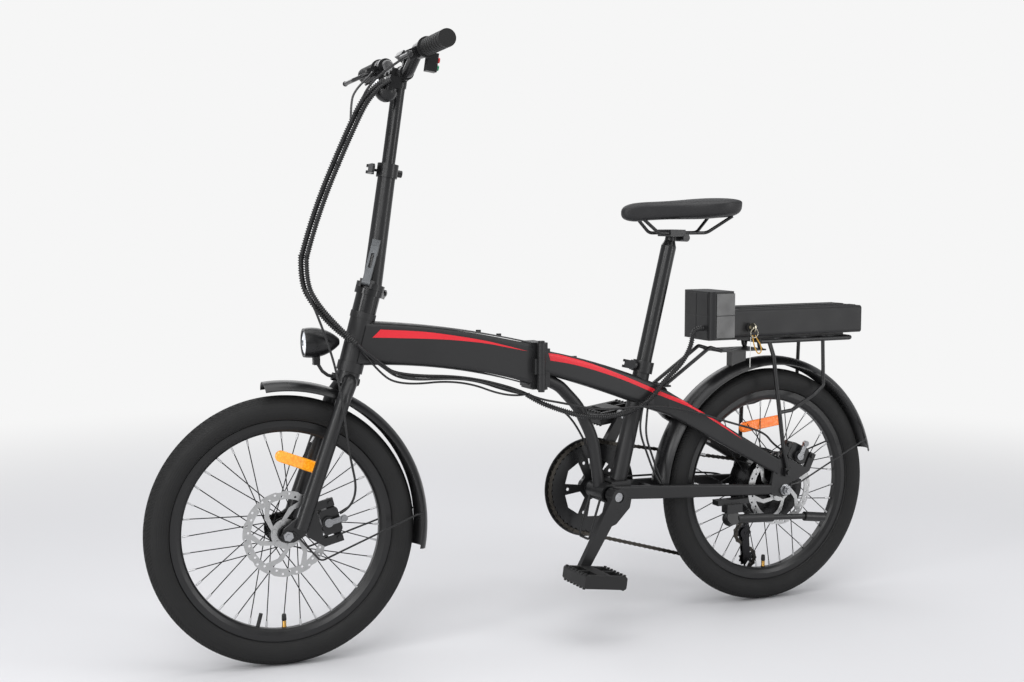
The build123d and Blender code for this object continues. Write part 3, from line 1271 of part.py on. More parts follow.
# ---- all nodes ------------------------------------------------------------------
def build_nodes():
    nodes = {}

    # rear half of the frame and everything bolted to it
    nodes["rear_frame"] = group(make_rear_frame(), make_hinge_pin())
    nodes["seat_clamp"] = make_seat_clamp()
    nodes["bottom_bracket"] = make_bottom_bracket()
    nodes["rear_axle"] = make_rear_axle()
    nodes["chain"] = make_chain()
    nodes["derailleur"] = make_derailleur()
    nodes["rear_fender"] = make_rear_fender()
    nodes["rear_rack"] = make_rear_rack()
    nodes["battery_dock"] = make_battery_dock()
    nodes["kickstand_mount"] = make_kickstand_mount()
    nodes["rear_caliper"] = REAR_WHEEL * make_caliper(rear_rotor_y, rear_caliper_angle)
    nodes["rear_caliper_arm"] = REAR_WHEEL * make_caliper_arm(rear_rotor_y, rear_caliper_angle)
    nodes["rear_cables"] = make_rear_cables()
    nodes["seat_clamp_lever"] = SEAT * Pos(26, -24, 0) * make_cam_lever(48)
    nodes["seatpost"] = group(make_seatpost(), make_saddle_rails())
    nodes["saddle"] = make_saddle()
    nodes["battery"] = make_battery()
    nodes["battery_key"] = make_battery_key()
    nodes["kickstand_leg"] = make_kickstand()

    # cranks
    nodes["crank_spindle"] = CRANK * make_crank_hardware()
    nodes["left_crank"] = CRANK * make_crank(1, crank_rest)
    nodes["right_crank"] = CRANK * (make_crank(-1, crank_rest + 180) + make_chainring() + chainring_boss())
    nodes["left_pedal"] = make_pedal(1)
    nodes["right_pedal"] = make_pedal(-1)

    # rear wheel
    nodes["rear_tyre"], nodes["rear_tube"] = [REAR_WHEEL * piece for piece in make_tyre()]
    nodes["rear_rim"] = REAR_WHEEL * make_rim()
    nodes["rear_spokes"] = REAR_WHEEL * group(*make_spokes(motor_flange_r - 2.6, rear_flange_l, rear_flange_r, 20))
    rear_hub = make_hub(motor_r, motor_flange_r, rear_flange_l, rear_flange_r, 64, -66.5, rear_axle_r, 20, freewheel_bore_r - run_gap)
    nodes["rear_hub"] = REAR_WHEEL * with_boss(rear_hub, rotor_boss(rear_rotor_y, rear_flange_l, rear_axle_r))
    nodes["rear_rotor"] = REAR_WHEEL * make_rotor(rear_rotor_y)
    nodes["freewheel"] = REAR_WHEEL * make_freewheel()

    # front half of the frame
    nodes["front_frame"] = group(make_front_frame(), make_headset())
    nodes["frame_latch"] = make_frame_latch()
    nodes["main_cables"] = make_main_cables()

    # fork and front wheel
    nodes["fork"] = make_fork()
    nodes["stem_base"] = make_stem_base()
    nodes["front_fender"] = group(make_front_fender(), make_light_bracket())
    nodes["headlight"] = make_headlight()
    nodes["front_axle"] = make_front_axle()
    nodes["front_caliper"] = FRONT_WHEEL * make_caliper(front_rotor_y, front_caliper_angle)
    nodes["front_caliper_arm"] = FRONT_WHEEL * make_caliper_arm(front_rotor_y, front_caliper_angle)
    nodes["head_cables"] = make_head_cables()
    nodes["front_tyre"], nodes["front_tube"] = [FRONT_WHEEL * piece for piece in make_tyre()]
    nodes["front_rim"] = FRONT_WHEEL * make_rim()
    nodes["front_spokes"] = FRONT_WHEEL * group(*make_spokes(front_flange_r - 2.6, 24, -33, 60))
    front_hub = make_hub(15, front_flange_r, 24, -33, 45, -45, front_axle_r, 60)
    nodes["front_hub"] = FRONT_WHEEL * with_boss(front_hub, rotor_boss(front_rotor_y, 24, front_axle_r))
    nodes["front_rotor"] = FRONT_WHEEL * make_rotor(front_rotor_y)

    # post and bar
    nodes["handlepost"] = make_handlepost()
    nodes["stem_latch"] = make_stem_latch()
    nodes["post_collar_lever"] = POST * Pos(28, -22, post_length - 13) * make_cam_lever(44)
    nodes["upper_post"] = make_upper_post()
    nodes["handlebar"] = make_handlebar()
    nodes["grips"] = make_grips()
    nodes["bar_controls"] = make_bar_controls()
    nodes["left_brake_lever"] = make_brake_lever(1)
    nodes["right_brake_lever"] = make_brake_lever(-1)
    nodes["red_button"] = make_button(button_z[0])
    nodes["green_button"] = make_button(button_z[1])
    nodes["bar_cables"] = make_bar_cables()
    return nodes


rear_flange_l = 30.0
rear_flange_r = -24.0


def chainring_boss():
    """Joins the chainring's middle to the right crank's boss."""
    return axle(16, -44, -52) - axle(spindle_r, -43, -60)


def with_boss(hub, boss):
    """Adds the disc's seat to the hub shell, leaving its bearing rings as they are."""
    solids = sorted(hub.solids(), key=lambda s: -s.volume)
    return group(solids[0] + boss, *solids[1:])


if __name__ == "__main__":
    nodes = build_nodes()
    whole = Compound(children=[solid for node in nodes.values() for solid in node.solids()]).bounding_box()
    shift = Pos(-(whole.min.X + whole.max.X) / 2, -(whole.min.Y + whole.max.Y) / 2, -whole.min.Z)
    for name, node in nodes.items():
        moved = Compound(children=[shift * solid for solid in node.solids()])
        export_step(moved, f"parts/{name}.step")
    offset_xyz = (-(whole.min.X + whole.max.X) / 2, -(whole.min.Y + whole.max.Y) / 2, -whole.min.Z)
    print("moved by", [round(v, 3) for v in offset_xyz])
    print("size", [round(v, 1) for v in (whole.size.X, whole.size.Y, whole.size.Z)])
    for name, (length, least, ratio) in cord_report.items():
        print(f"cord {name}: length {length:.1f}, smallest bend radius {least:.1f}, area ratio {ratio:.3f}")
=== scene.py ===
import json
import math

import bpy
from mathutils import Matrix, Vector
from mathutils.bvhtree import BVHTree


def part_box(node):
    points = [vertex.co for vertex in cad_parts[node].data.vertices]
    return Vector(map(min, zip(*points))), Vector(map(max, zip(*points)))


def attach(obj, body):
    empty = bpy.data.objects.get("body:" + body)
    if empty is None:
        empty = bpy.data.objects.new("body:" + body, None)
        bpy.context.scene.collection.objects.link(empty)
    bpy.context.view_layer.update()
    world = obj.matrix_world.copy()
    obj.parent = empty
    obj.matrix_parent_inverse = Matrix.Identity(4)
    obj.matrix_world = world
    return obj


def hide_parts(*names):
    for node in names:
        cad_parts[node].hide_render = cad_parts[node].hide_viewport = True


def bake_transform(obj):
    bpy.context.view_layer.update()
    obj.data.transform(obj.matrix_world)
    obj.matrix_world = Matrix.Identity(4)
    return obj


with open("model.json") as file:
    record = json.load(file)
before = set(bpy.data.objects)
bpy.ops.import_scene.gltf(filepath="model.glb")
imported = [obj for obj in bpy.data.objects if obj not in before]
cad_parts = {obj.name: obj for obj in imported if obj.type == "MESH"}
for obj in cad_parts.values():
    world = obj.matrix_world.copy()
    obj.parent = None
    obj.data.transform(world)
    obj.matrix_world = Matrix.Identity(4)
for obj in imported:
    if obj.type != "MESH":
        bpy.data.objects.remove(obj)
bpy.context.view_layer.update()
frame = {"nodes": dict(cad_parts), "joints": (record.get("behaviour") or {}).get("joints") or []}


# ---- layout and camera ------------------------------------------------------------
# The bicycle is measured in millimetres from the ground under the rear axle: +X forward,
# +Y to the rider's left, +Z up. The camera stands a little ahead of it, on its left side.
low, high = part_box("rear_tyre")
rear_x, rear_y = (low[0] + high[0]) / 2, (low[1] + high[1]) / 2
joints = {j["name"]: j for j in frame["joints"]}


def at(x, y, z):
    """A point of the bicycle's layout, in the frame's metres."""
    return Vector((rear_x + x / 1000, rear_y + y / 1000, z / 1000))


camera = bpy.data.objects.new("camera", bpy.data.cameras.new("camera"))
bpy.context.scene.collection.objects.link(camera)
camera.data.lens, camera.data.sensor_width = 50.5, 36
camera.location = at(1823.5, 2572.8, 855.4)
camera.rotation_euler = Vector((-0.4245, -0.9007, -0.0924)).to_track_quat("-Z", "Y").to_euler()
bpy.context.scene.camera = camera


# ---- studio -----------------------------------------------------------------------
# A pale seamless floor under large soft boxes. The floor runs out into the plain
# background, and two tall boxes draw the long highlights on the round tubes.
def rgb(value):
    """An sRGB hex colour as linear numbers with alpha."""
    parts = [int(value[k:k + 2], 16) / 255 for k in (1, 3, 5)]
    return [p / 12.92 if p < 0.04045 else ((p + 0.055) / 1.055) ** 2.4 for p in parts] + [1.0]


def add(tree, kind, inputs=(), **settings):
    """Adds a node: settings are its properties, inputs its sockets' values or links."""
    made = tree.nodes.new(kind)
    for name, value in settings.items():
        setattr(made, name, value)
    for name, value in dict(inputs).items():
        if isinstance(value, bpy.types.NodeSocket):
            tree.links.new(value, made.inputs[name])
        else:
            made.inputs[name].default_value = value
    return made


def new_mesh(name, points, faces, smooth=True):
    mesh = bpy.data.meshes.new(name)
    mesh.from_pydata([tuple(p) for p in points], [], faces)
    mesh.validate()
    mesh.update()
    for polygon in mesh.polygons:
        polygon.use_smooth = smooth
    made = bpy.data.objects.new(name, mesh)
    bpy.context.scene.collection.objects.link(made)
    return made


bpy.context.scene.view_settings.view_transform = "Standard"
world = bpy.data.worlds.new("studio")
bpy.context.scene.world = world
world.use_nodes = True
tree = world.node_tree
tree.nodes.clear()
seen = add(tree, "ShaderNodeLightPath").outputs["Is Camera Ray"]
wall = add(tree, "ShaderNodeBackground", {"Color": rgb("#f6f6f6"), "Strength": 1.0})
fill = add(tree, "ShaderNodeBackground", {"Color": rgb("#f4f5f8"), "Strength": 0.5})
mixed = add(tree, "ShaderNodeMixShader", {0: seen, 1: fill.outputs[0], 2: wall.outputs[0]})
add(tree, "ShaderNodeOutputWorld", {"Surface": mixed.outputs[0]})

corners = ((-14000, -14000), (15000, -14000), (15000, 14000), (-14000, 14000))
floor = new_mesh("studio_floor", [at(x, y, -0.5) for x, y in corners], [(0, 1, 2, 3)])
pale = bpy.data.materials.new("painted_studio_floor")
pale.use_nodes = True
tree = pale.node_tree
tree.nodes.clear()
place = add(tree, "ShaderNodeTexCoord").outputs["Object"]
far = add(tree, "ShaderNodeVectorMath", {0: place}, operation="LENGTH").outputs["Value"]
fade = add(tree, "ShaderNodeMapRange", {"Value": far, "From Min": 1.2, "From Max": 3.6},
           interpolation_type="SMOOTHSTEP").outputs["Result"]
matt = add(tree, "ShaderNodeBsdfDiffuse", {"Color": rgb("#d9d9db")})
glow = add(tree, "ShaderNodeEmission", {"Color": rgb("#f6f6f6"), "Strength": 1.0})
mixed = add(tree, "ShaderNodeMixShader", {0: fade, 1: matt.outputs[0], 2: glow.outputs[0]})
add(tree, "ShaderNodeOutputMaterial", {"Surface": mixed.outputs[0]})
floor.data.materials.append(pale)

for name, place, size, power in (
    ("soft_box_top", (500, 300, 3200), (3.6, 3.0), 62),
    ("soft_box_key", (2600, 2600, 2300), (1.6, 1.8), 34),
    ("soft_box_left_strip", (3000, 900, 1200), (0.5, 2.4), 20),
    ("soft_box_right_strip", (-1500, 2300, 1300), (0.5, 2.4), 20),
    ("soft_box_back", (200, -2800, 2200), (2.4, 1.6), 20),
):
    lamp = bpy.data.lights.new(name, "AREA")
    lamp.shape, lamp.size, lamp.size_y, lamp.energy = "RECTANGLE", size[0], size[1], power
    stand = bpy.data.objects.new(name, lamp)
    bpy.context.scene.collection.objects.link(stand)
    stand.location = at(*place)
    stand.rotation_euler = (at(480, 0, 450) - stand.location).to_track_quat("-Z", "Y").to_euler()


# ---- finishes of the painted frame ------------------------------------------------
# The aluminium frame is powder coated in matt black. Baked powder dries to a faint orange
# peel about 1.5 mm across, with a soft sheen and a little grey dust in the hollows.
MM = 0.001


def start(name, colour, rough, metal=0.0, gloss=0.5):
    """A material with its shader, ready for detail; returns it, its tree and its shader."""
    made = bpy.data.materials.new(name)
    made.use_nodes = True
    tree = made.node_tree
    shader = tree.nodes["Principled BSDF"]
    shader.inputs["Base Color"].default_value = rgb(colour)
    shader.inputs["Roughness"].default_value = rough
    shader.inputs["Metallic"].default_value = metal
    shader.inputs["Specular IOR Level"].default_value = gloss
    return made, tree, shader


def mottle(tree, shader, dark, light, size, rough, spread=0.08):
    """Lets colour and roughness wander between two values over patches of size mm."""
    place = add(tree, "ShaderNodeTexCoord").outputs["Object"]
    cloud = add(tree, "ShaderNodeTexNoise", {"Vector": place, "W": 0.0, "Scale": 1 / (size * MM),
                "Detail": 4.0, "Roughness": 0.6}, noise_dimensions="4D").outputs["Fac"]
    tone = add(tree, "ShaderNodeMix", {0: cloud, 6: rgb(dark), 7: rgb(light)}, data_type="RGBA")
    tree.links.new(tone.outputs[2], shader.inputs["Base Color"])
    sheen = add(tree, "ShaderNodeMapRange", {"Value": cloud, "From Min": 0.3, "From Max": 0.7,
                "To Min": rough - spread, "To Max": rough + spread})
    tree.links.new(sheen.outputs[0], shader.inputs["Roughness"])
    return place


def relief(tree, shader, height, depth):
    """Adds a bump of so many millimetres to the shader."""
    bump = add(tree, "ShaderNodeBump", {"Height": height, "Distance": depth * MM, "Strength": 1.0})
    tree.links.new(bump.outputs["Normal"], shader.inputs["Normal"])


def powder_coat(name, dark, light, rough, peel=1.5, depth=0.035):
    made, tree, shader = start(name, dark, rough)
    place = mottle(tree, shader, dark, light, 90, rough, 0.05)
    skin = add(tree, "ShaderNodeTexNoise", {"Vector": place, "Scale": 1 / (peel * MM), "Detail": 2.0})
    relief(tree, shader, skin.outputs["Fac"], depth)
    return made


def dress(material, *nodes):
    """Gives CAD nodes a finish in every slot of their meshes."""
    for name in nodes:
        mesh = frame["nodes"][name].data
        if not mesh.materials:
            mesh.materials.append(material)
        for k in range(len(mesh.materials)):
            mesh.materials[k] = material


frame_coat = powder_coat("matt_black_powder_coat", "#141415", "#1c1c1d", 0.44)
dress(frame_coat, "rear_frame", "front_frame")
part_coat = powder_coat("satin_black_powder_coat", "#121213", "#1b1b1c", 0.34)
dress(part_coat, "fork", "handlepost", "rear_rack", "seat_clamp", "kickstand_mount", "kickstand_leg")
post_coat = powder_coat("black_anodised_aluminium", "#101011", "#1a1a1b", 0.3, 0.6, 0.012)
dress(post_coat, "upper_post", "seatpost", "handlebar", "post_collar_lever", "seat_clamp_lever",
      "frame_latch", "left_crank", "right_crank", "left_brake_lever", "right_brake_lever",
      "front_caliper", "rear_caliper")


# ---- stripes on the main tube -----------------------------------------------------
# Two red film stripes per side, one on each half of the frame, each starting full width at
# a slanted end and running out to a point. The film is laid over the paint and lacquered.
film, tree, shader = start("red_vinyl_film", "#d81c2c", 0.38)
mottle(tree, shader, "#d01526", "#e52433", 60, 0.38, 0.05)


def stripe(name, body, upper, lower, side):
    """A film between two lines seen from the side, each a row of (x, z), laid on the paint."""
    mesh = frame["nodes"][body].data
    skin = BVHTree.FromPolygons([v.co for v in mesh.vertices], [p.vertices for p in mesh.polygons])
    rows, points, faces, painted, steps = 192, [], [], [], 6

    def along(line, t):
        s = t * (len(line) - 1)
        k = min(int(s), len(line) - 2)
        f = s - k
        before, a, b = line[max(k - 1, 0)], line[k], line[k + 1]
        after = line[min(k + 2, len(line) - 1)]
        return [0.5 * (2 * a[i] + (b[i] - before[i]) * f
                       + (2 * before[i] - 5 * a[i] + 4 * b[i] - after[i]) * f * f
                       + (3 * a[i] - before[i] - 3 * b[i] + after[i]) * f ** 3) for i in (0, 1)]

    for i in range(rows + 1):
        top, bottom = along(upper, i / rows), along(lower, i / rows)
        for k in range(steps + 1):
            x, z = (top[j] + (bottom[j] - top[j]) * k / steps for j in (0, 1))
            hit = skin.ray_cast(at(x, 150 * side, z), Vector((0, -side, 0)))[0]
            painted.append(bool(hit) and (hit.y - rear_y) * side > 12 * MM)
            points.append((hit if painted[-1] else at(x, 25 * side, z)) + Vector((0, side, 0)) * 0.25 * MM)
    # Film is cut where the side ends, so it never bridges a hollow or reaches the far side.
    for i in range(rows):
        for k in range(steps):
            a = i * (steps + 1) + k
            quad = (a, a + 1, a + steps + 2, a + steps + 1)
            depths = [points[v].y for v in quad]
            if all(painted[v] for v in quad) and max(depths) - min(depths) < 3 * MM:
                faces.append(quad if side > 0 else quad[::-1])
    used = sorted({v for face in faces for v in face})
    place_of = {v: k for k, v in enumerate(used)}
    points = [points[v] for v in used]
    faces = [tuple(place_of[v] for v in face) for face in faces]
    made = new_mesh(name, points, faces)
    made.data.materials.append(film)
    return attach(made, body)


front_upper = ((897, 626.5), (812, 619.5), (746, 609.5), (679, 596.5), (634, 585), (590, 573))
front_lower = ((913, 612), (812, 606), (746, 600.5), (679, 591.5), (634, 582), (589, 572.6))
rear_upper = ((540, 566), (506, 559.5), (444, 541), (370, 513), (294, 481), (243, 458.5),
              (194, 434), (104, 368))
rear_lower = ((536, 551), (492, 542.5), (444, 529.5), (370, 504), (294, 472), (243, 450),
              (194, 424.5), (103, 367.4))
for side, word in ((1, "left"), (-1, "right")):
    stripe(f"front_stripe_{word}", "front_frame", front_upper, front_lower, side)
    stripe(f"rear_stripe_{word}", "rear_frame", rear_upper, rear_lower, side)


# ---- bright fittings --------------------------------------------------------------
# Axles and nuts are zinc-plated steel, the bearing cups turned steel, and the brake arms and
# stem latch cast aluminium, all with fine marks of turning or polishing. The stem base is
# cast too, under gloss black paint.
def plated(name, dark, light, rough, grain, depth=0.01):
    made, tree, shader = start(name, light, rough, 1.0)
    place = mottle(tree, shader, dark, light, 14, rough, 0.07)
    stretched = add(tree, "ShaderNodeMapping", {"Vector": place, "Scale": (1.0, 0.06, 1.0)}).outputs[0]
    marks = add(tree, "ShaderNodeTexNoise", {"Vector": stretched, "Scale": 1 / (grain * MM), "Detail": 3.0})
    relief(tree, shader, marks.outputs["Fac"], depth)
    return made


zinc = plated("zinc_plated_steel", "#8f9092", "#c3c4c6", 0.3, 0.8)
dress(zinc, "crank_spindle", "rear_axle", "front_axle")
steel_cup = plated("turned_black_steel", "#2b2b2d", "#3c3c3e", 0.35, 0.8)
dress(steel_cup, "bottom_bracket", "derailleur")
cast = plated("polished_cast_aluminium", "#77787a", "#a8a9ab", 0.27, 1.2)
dress(cast, "front_caliper_arm", "rear_caliper_arm")
gloss_coat = powder_coat("gloss_black_stem_paint", "#0e0e0f", "#161617", 0.2, 2.5, 0.01)
dress(gloss_coat, "stem_base")
latch_grey = plated("grey_die_cast_lever", "#4c4e50", "#66686a", 0.36, 1.0)
dress(latch_grey, "stem_latch")


# ---- wheels -----------------------------------------------------------------------
# Black anodised double-wall rims with 36 black steel spokes in nickel-plated nipples, a
# machined front hub and a painted hub motor behind, and stainless discs.
axle_way = {"front": Vector(joints["front_wheel_spin"]["axis"]).normalized(), "rear": Vector((0, 1, 0))}
centre = {}
for end in axle_way:
    low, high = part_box(f"{end}_tyre")
    centre[end] = (Vector(low) + Vector(high)) / 2


def from_axle(tree, end):
    """Distance from the wheel's axle, for patterns that go round it."""
    place = add(tree, "ShaderNodeTexCoord").outputs["Object"]
    middle = tuple(centre[end])
    arm = add(tree, "ShaderNodeVectorMath", {0: place, 1: middle}, operation="SUBTRACT").outputs[0]
    way = tuple(axle_way[end])
    across = add(tree, "ShaderNodeVectorMath", {0: arm, 1: way}, operation="DOT_PRODUCT").outputs["Value"]
    shadow = add(tree, "ShaderNodeVectorMath", {0: way, "Scale": across}, operation="SCALE").outputs[0]
    flat = add(tree, "ShaderNodeVectorMath", {0: arm, 1: shadow}, operation="SUBTRACT").outputs[0]
    return add(tree, "ShaderNodeVectorMath", {0: flat}, operation="LENGTH").outputs["Value"]


def ringed(name, end, dark, light, rough, metal, pitch, depth):
    """A turned or rolled surface: fine rings round the wheel's axle, pitch mm apart."""
    made, tree, shader = start(name, dark, rough, metal)
    mottle(tree, shader, dark, light, 30, rough, 0.06)
    turns = add(tree, "ShaderNodeMath", {0: from_axle(tree, end), 1: 2 * math.pi / (pitch * MM)},
                operation="MULTIPLY").outputs[0]
    wave = add(tree, "ShaderNodeMath", {0: turns}, operation="SINE").outputs[0]
    relief(tree, shader, wave, depth)
    return made


NIPPLE_R = 172.5             # from the axle to where a spoke's nipple begins
for end in ("front", "rear"):
    anodised = ringed(f"{end}_rim_black_anodised", end, "#0e0e0f", "#151516", 0.33, 0.0, 6.0, 0.004)
    dress(anodised, f"{end}_rim")
    ground = ringed(f"{end}_disc_ground_stainless", end, "#a3a4a5", "#c9c9c8", 0.3, 1.0, 0.9, 0.012)
    dress(ground, f"{end}_rotor")
    painted_hub = ringed(f"{end}_hub_gloss_black", end, "#0d0d0e", "#161617", 0.24, 0.2, 2.5, 0.01)
    dress(painted_hub, f"{end}_hub")
    # Spokes are drawn wire with a black oxide skin, and each ends in a bright nipple.
    wire, tree, shader = start(f"{end}_black_spoke_wire", "#141415", 0.3, 0.6)
    nipple = add(tree, "ShaderNodeMath", {0: from_axle(tree, end), 1: NIPPLE_R * MM},
                 operation="GREATER_THAN").outputs[0]
    tone = add(tree, "ShaderNodeMix", {0: nipple, 6: rgb("#161617"), 7: rgb("#c9c9ca")}, data_type="RGBA")
    tree.links.new(tone.outputs[2], shader.inputs["Base Color"])
    place = add(tree, "ShaderNodeTexCoord").outputs["Object"]
    drawn = add(tree, "ShaderNodeTexNoise", {"Vector": place, "Scale": 1 / (0.8 * MM), "Detail": 2.0})
    relief(tree, shader, drawn.outputs["Fac"], 0.01)
    dress(wire, f"{end}_spokes")

# The freewheel and chain are oiled steel: brown-grey, with brighter edges where they run.
oiled, tree, shader = start("oiled_chain_steel", "#3a3733", 0.34, 0.85)
place = mottle(tree, shader, "#2b2825", "#5a5650", 6, 0.34, 0.1)
grit = add(tree, "ShaderNodeTexNoise", {"Vector": place, "Scale": 1 / (1.2 * MM), "Detail": 3.0})
relief(tree, shader, grit.outputs["Fac"], 0.03)
dress(oiled, "chain", "freewheel")


# ---- tyres ------------------------------------------------------------------------
# Black rubber road tyres, 50 mm across. The crown has rows of shallow moulded blocks split
# by slanted sipes, the shoulders have short lugs, and fine rings run round the sidewalls.
rubber, tree, shader = start("moulded_tyre_rubber", "#161616", 0.68, 0.0, 0.35)
place = mottle(tree, shader, "#131313", "#1d1d1d", 40, 0.68, 0.08)
skin = add(tree, "ShaderNodeTexNoise", {"Vector": place, "Scale": 1 / (0.7 * MM), "Detail": 3.0})
relief(tree, shader, skin.outputs["Fac"], 0.05)
TYRE_R, SECTION_R, WALL = 254.0, 26.0, 3.2
BLOCKS = 118                 # tread blocks round the tyre, about 13.5 mm apart


def tread_depth(round_, across):
    """Groove depth in mm: round_ counts blocks, across is the angle from the crown in degrees."""
    off = abs(across)
    phase = (round_ + off / 34) % 1.0
    if off < 5:
        return 0.0
    if off < 8:
        return 1.3
    if off < 26:
        return 1.3 if phase < 0.2 else 0.0
    if off < 30:
        return 1.3
    if off < 52:
        return 1.1 if (phase * 2) % 1.0 < 0.32 else 0.0
    return 0.45 if off < 54 else (0.35 if (off % 9) < 2 else 0.0)


def tyre(end):
    around, points, faces, ring = BLOCKS * 10, [], [], []
    for k in range(-66, 67):
        ring.append(("outer", k * 2.06))
    for k in range(14, -15, -1):
        ring.append(("inner", k * 9.6))
    up = Vector((0, 0, 1)).cross(axle_way[end]).normalized()
    second = axle_way[end].cross(up)
    for i in range(around):
        turn = 2 * math.pi * i / around
        out = up * math.cos(turn) + second * math.sin(turn)
        for kind, angle in ring:
            radius = SECTION_R - tread_depth(i / 10, angle) if kind == "outer" else SECTION_R - WALL
            r = TYRE_R - SECTION_R + radius * math.cos(math.radians(angle))
            y = radius * math.sin(math.radians(angle))
            points.append(centre[end] + out * (r * MM) + axle_way[end] * (y * MM))
    n = len(ring)
    for i in range(around):
        j = (i + 1) % around
        for k in range(n):
            m = (k + 1) % n
            faces.append((i * n + k, i * n + m, j * n + m, j * n + k))
    made = new_mesh(f"{end}_tyre_with_tread", points, faces)
    made.data.materials.append(rubber)
    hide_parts(f"{end}_tyre")
    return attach(made, f"{end}_wheel")


for end in ("front", "rear"):
    tyre(end)

# The inner tube is butyl rubber; its valve is threaded brass under a black screw cap.
butyl, tree, shader = start("butyl_tube_rubber", "#1a1a1b", 0.55)
mottle(tree, shader, "#171717", "#222223", 20, 0.55, 0.06)
dress(butyl, "front_tube", "rear_tube")
brass, tree, shader = start("threaded_brass", "#b08a45", 0.32, 1.0)
mottle(tree, shader, "#94703a", "#c39a52", 5, 0.32, 0.1)
cap_black, tree, shader = start("moulded_nylon_black", "#121213", 0.45)
mottle(tree, shader, "#101011", "#1c1c1d", 6, 0.45, 0.06)


def lathe(name, origin, axis, profile, material, body, sides=32):
    """A turned piece: profile is (distance along axis, radius) in mm from its origin."""
    axis = axis.normalized()
    side = axis.orthogonal().normalized()
    other = axis.cross(side)
    points, faces = [], []
    for d, r in profile:
        for k in range(sides):
            turn = 2 * math.pi * k / sides
            out = side * math.cos(turn) + other * math.sin(turn)
            points.append(origin + axis * (d * MM) + out * (r * MM))
    for i in range(len(profile) - 1):
        for k in range(sides):
            m = (k + 1) % sides
            faces.append((i * sides + k, i * sides + m, (i + 1) * sides + m, (i + 1) * sides + k))
    faces.append(tuple(range(sides))[::-1])
    faces.append(tuple(len(points) - sides + k for k in range(sides)))
    made = new_mesh(name, points, faces)
    made.data.materials.append(material)
    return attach(made, body)


VALVE_SEAT_R = 184.5         # from the axle to the rim's inner wall
for end in ("front", "rear"):
    wheel_down = axle_way[end].cross(Vector((1, 0, 0))).normalized()
    seat = centre[end] + wheel_down * (VALVE_SEAT_R * MM)
    lathe(f"{end}_valve_stem", seat, -wheel_down,
          ((0, 4.6), (2, 4.6), (2.6, 3.9), (12, 3.9), (12.4, 3.3), (16, 3.3)),
          brass, f"{end}_wheel")
    lathe(f"{end}_valve_cap", seat - wheel_down * (13 * MM), -wheel_down,
          ((0, 4.1), (0.6, 4.6), (10, 4.3), (12.5, 3.2), (13, 1.2)),
          cap_black, f"{end}_wheel")


# ---- spoke reflectors -------------------------------------------------------------
# Each wheel carries one amber reflector, a clear polycarbonate lens with prisms moulded
# behind it, clipped between two spokes.
def prism_lens(name, deep, bright, painted_glow):
    made, tree, shader = start(name, deep, 0.16, 0.0, 0.6)
    place = add(tree, "ShaderNodeTexCoord").outputs["Object"]
    cells = add(tree, "ShaderNodeTexVoronoi", {"Vector": place, "Scale": 1 / (4.0 * MM)})
    tone = add(tree, "ShaderNodeMix", {0: cells.outputs["Distance"], 6: rgb(bright), 7: rgb(deep)},
               data_type="RGBA")
    tree.links.new(tone.outputs[2], shader.inputs["Base Color"])
    shader.inputs["Coat Weight"].default_value = 0.6
    # The emission is a painted glow that stands in for the light the prisms send back; a reflector gives no
    # light of its own.
    shader.inputs["Emission Color"].default_value = rgb(bright)
    shader.inputs["Emission Strength"].default_value = painted_glow
    relief(tree, shader, cells.outputs["Distance"], 0.25)
    return made


amber = prism_lens("amber_polycarbonate", "#e87a00", "#ffb52e", 0.25)
orange = prism_lens("orange_polycarbonate", "#e25a08", "#ff8b2b", 0.25)


def bar(name, middle, way, face, length, width, thick, material, body, corner=None, steps=5):
    """A lens or plate with round ends or corners: length along way, width across it, in mm."""
    way, face = way.normalized(), face.normalized()
    across = face.cross(way).normalized()
    points, faces = [], []
    rings = ((-1.0, 0.90), (-0.7, 1.0), (0.4, 1.0), (0.8, 0.93), (1.0, 0.80))
    outline = []
    radius = corner or width / 2
    for quarter, (right, top) in enumerate(((1, -1), (1, 1), (-1, 1), (-1, -1))):
        for k in range(steps + 1):
            a = math.pi / 2 * (quarter - 1 + k / steps)
            spot = (right * (length / 2 - radius) + radius * math.cos(a),
                    top * (width / 2 - radius) + radius * math.sin(a))
            if not outline or math.dist(spot, outline[-1]) > 1e-6:
                outline.append(spot)
    n = len(outline)
    for height, scale in rings:
        for u, v in outline:
            inward = math.copysign((1 - scale) * radius, u)
            points.append(middle + way * ((u - inward) * MM) + across * (v * scale * MM)
                          + face * (height * thick / 2 * MM))
    for i in range(len(rings) - 1):
        for k in range(n):
            m = (k + 1) % n
            faces.append((i * n + k, i * n + m, (i + 1) * n + m, (i + 1) * n + k))
    faces.append(tuple(range(n))[::-1])
    faces.append(tuple((len(rings) - 1) * n + k for k in range(n)))
    made = new_mesh(name, points, faces, smooth=False)
    made.data.materials.append(material)
    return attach(made, body)


bar("front_spoke_reflector", at(1056, 4, 383), at(1099.8, 4, 400) - at(1013.4, 12, 366),
    axle_way["front"], 88, 22, 9, amber, "front_wheel")
bar("rear_spoke_reflector", at(16, 6, 388), at(76, 6, 381) - at(-44, 6, 395), axle_way["rear"],
    110, 22, 9, orange, "rear_wheel")
# A clear lens of the same kind faces forward from the bar's reflector plate.
clear = prism_lens("clear_polycarbonate", "#cfd3d8", "#fbfcfd", 0.3)
bar("bar_reflector_lens", at(879.6, -39.6, 1085.4), axle_way["front"], Vector((0.984, -0.099, 0.151)),
    32, 24, 2.6, clear, "upper_post", corner=3)


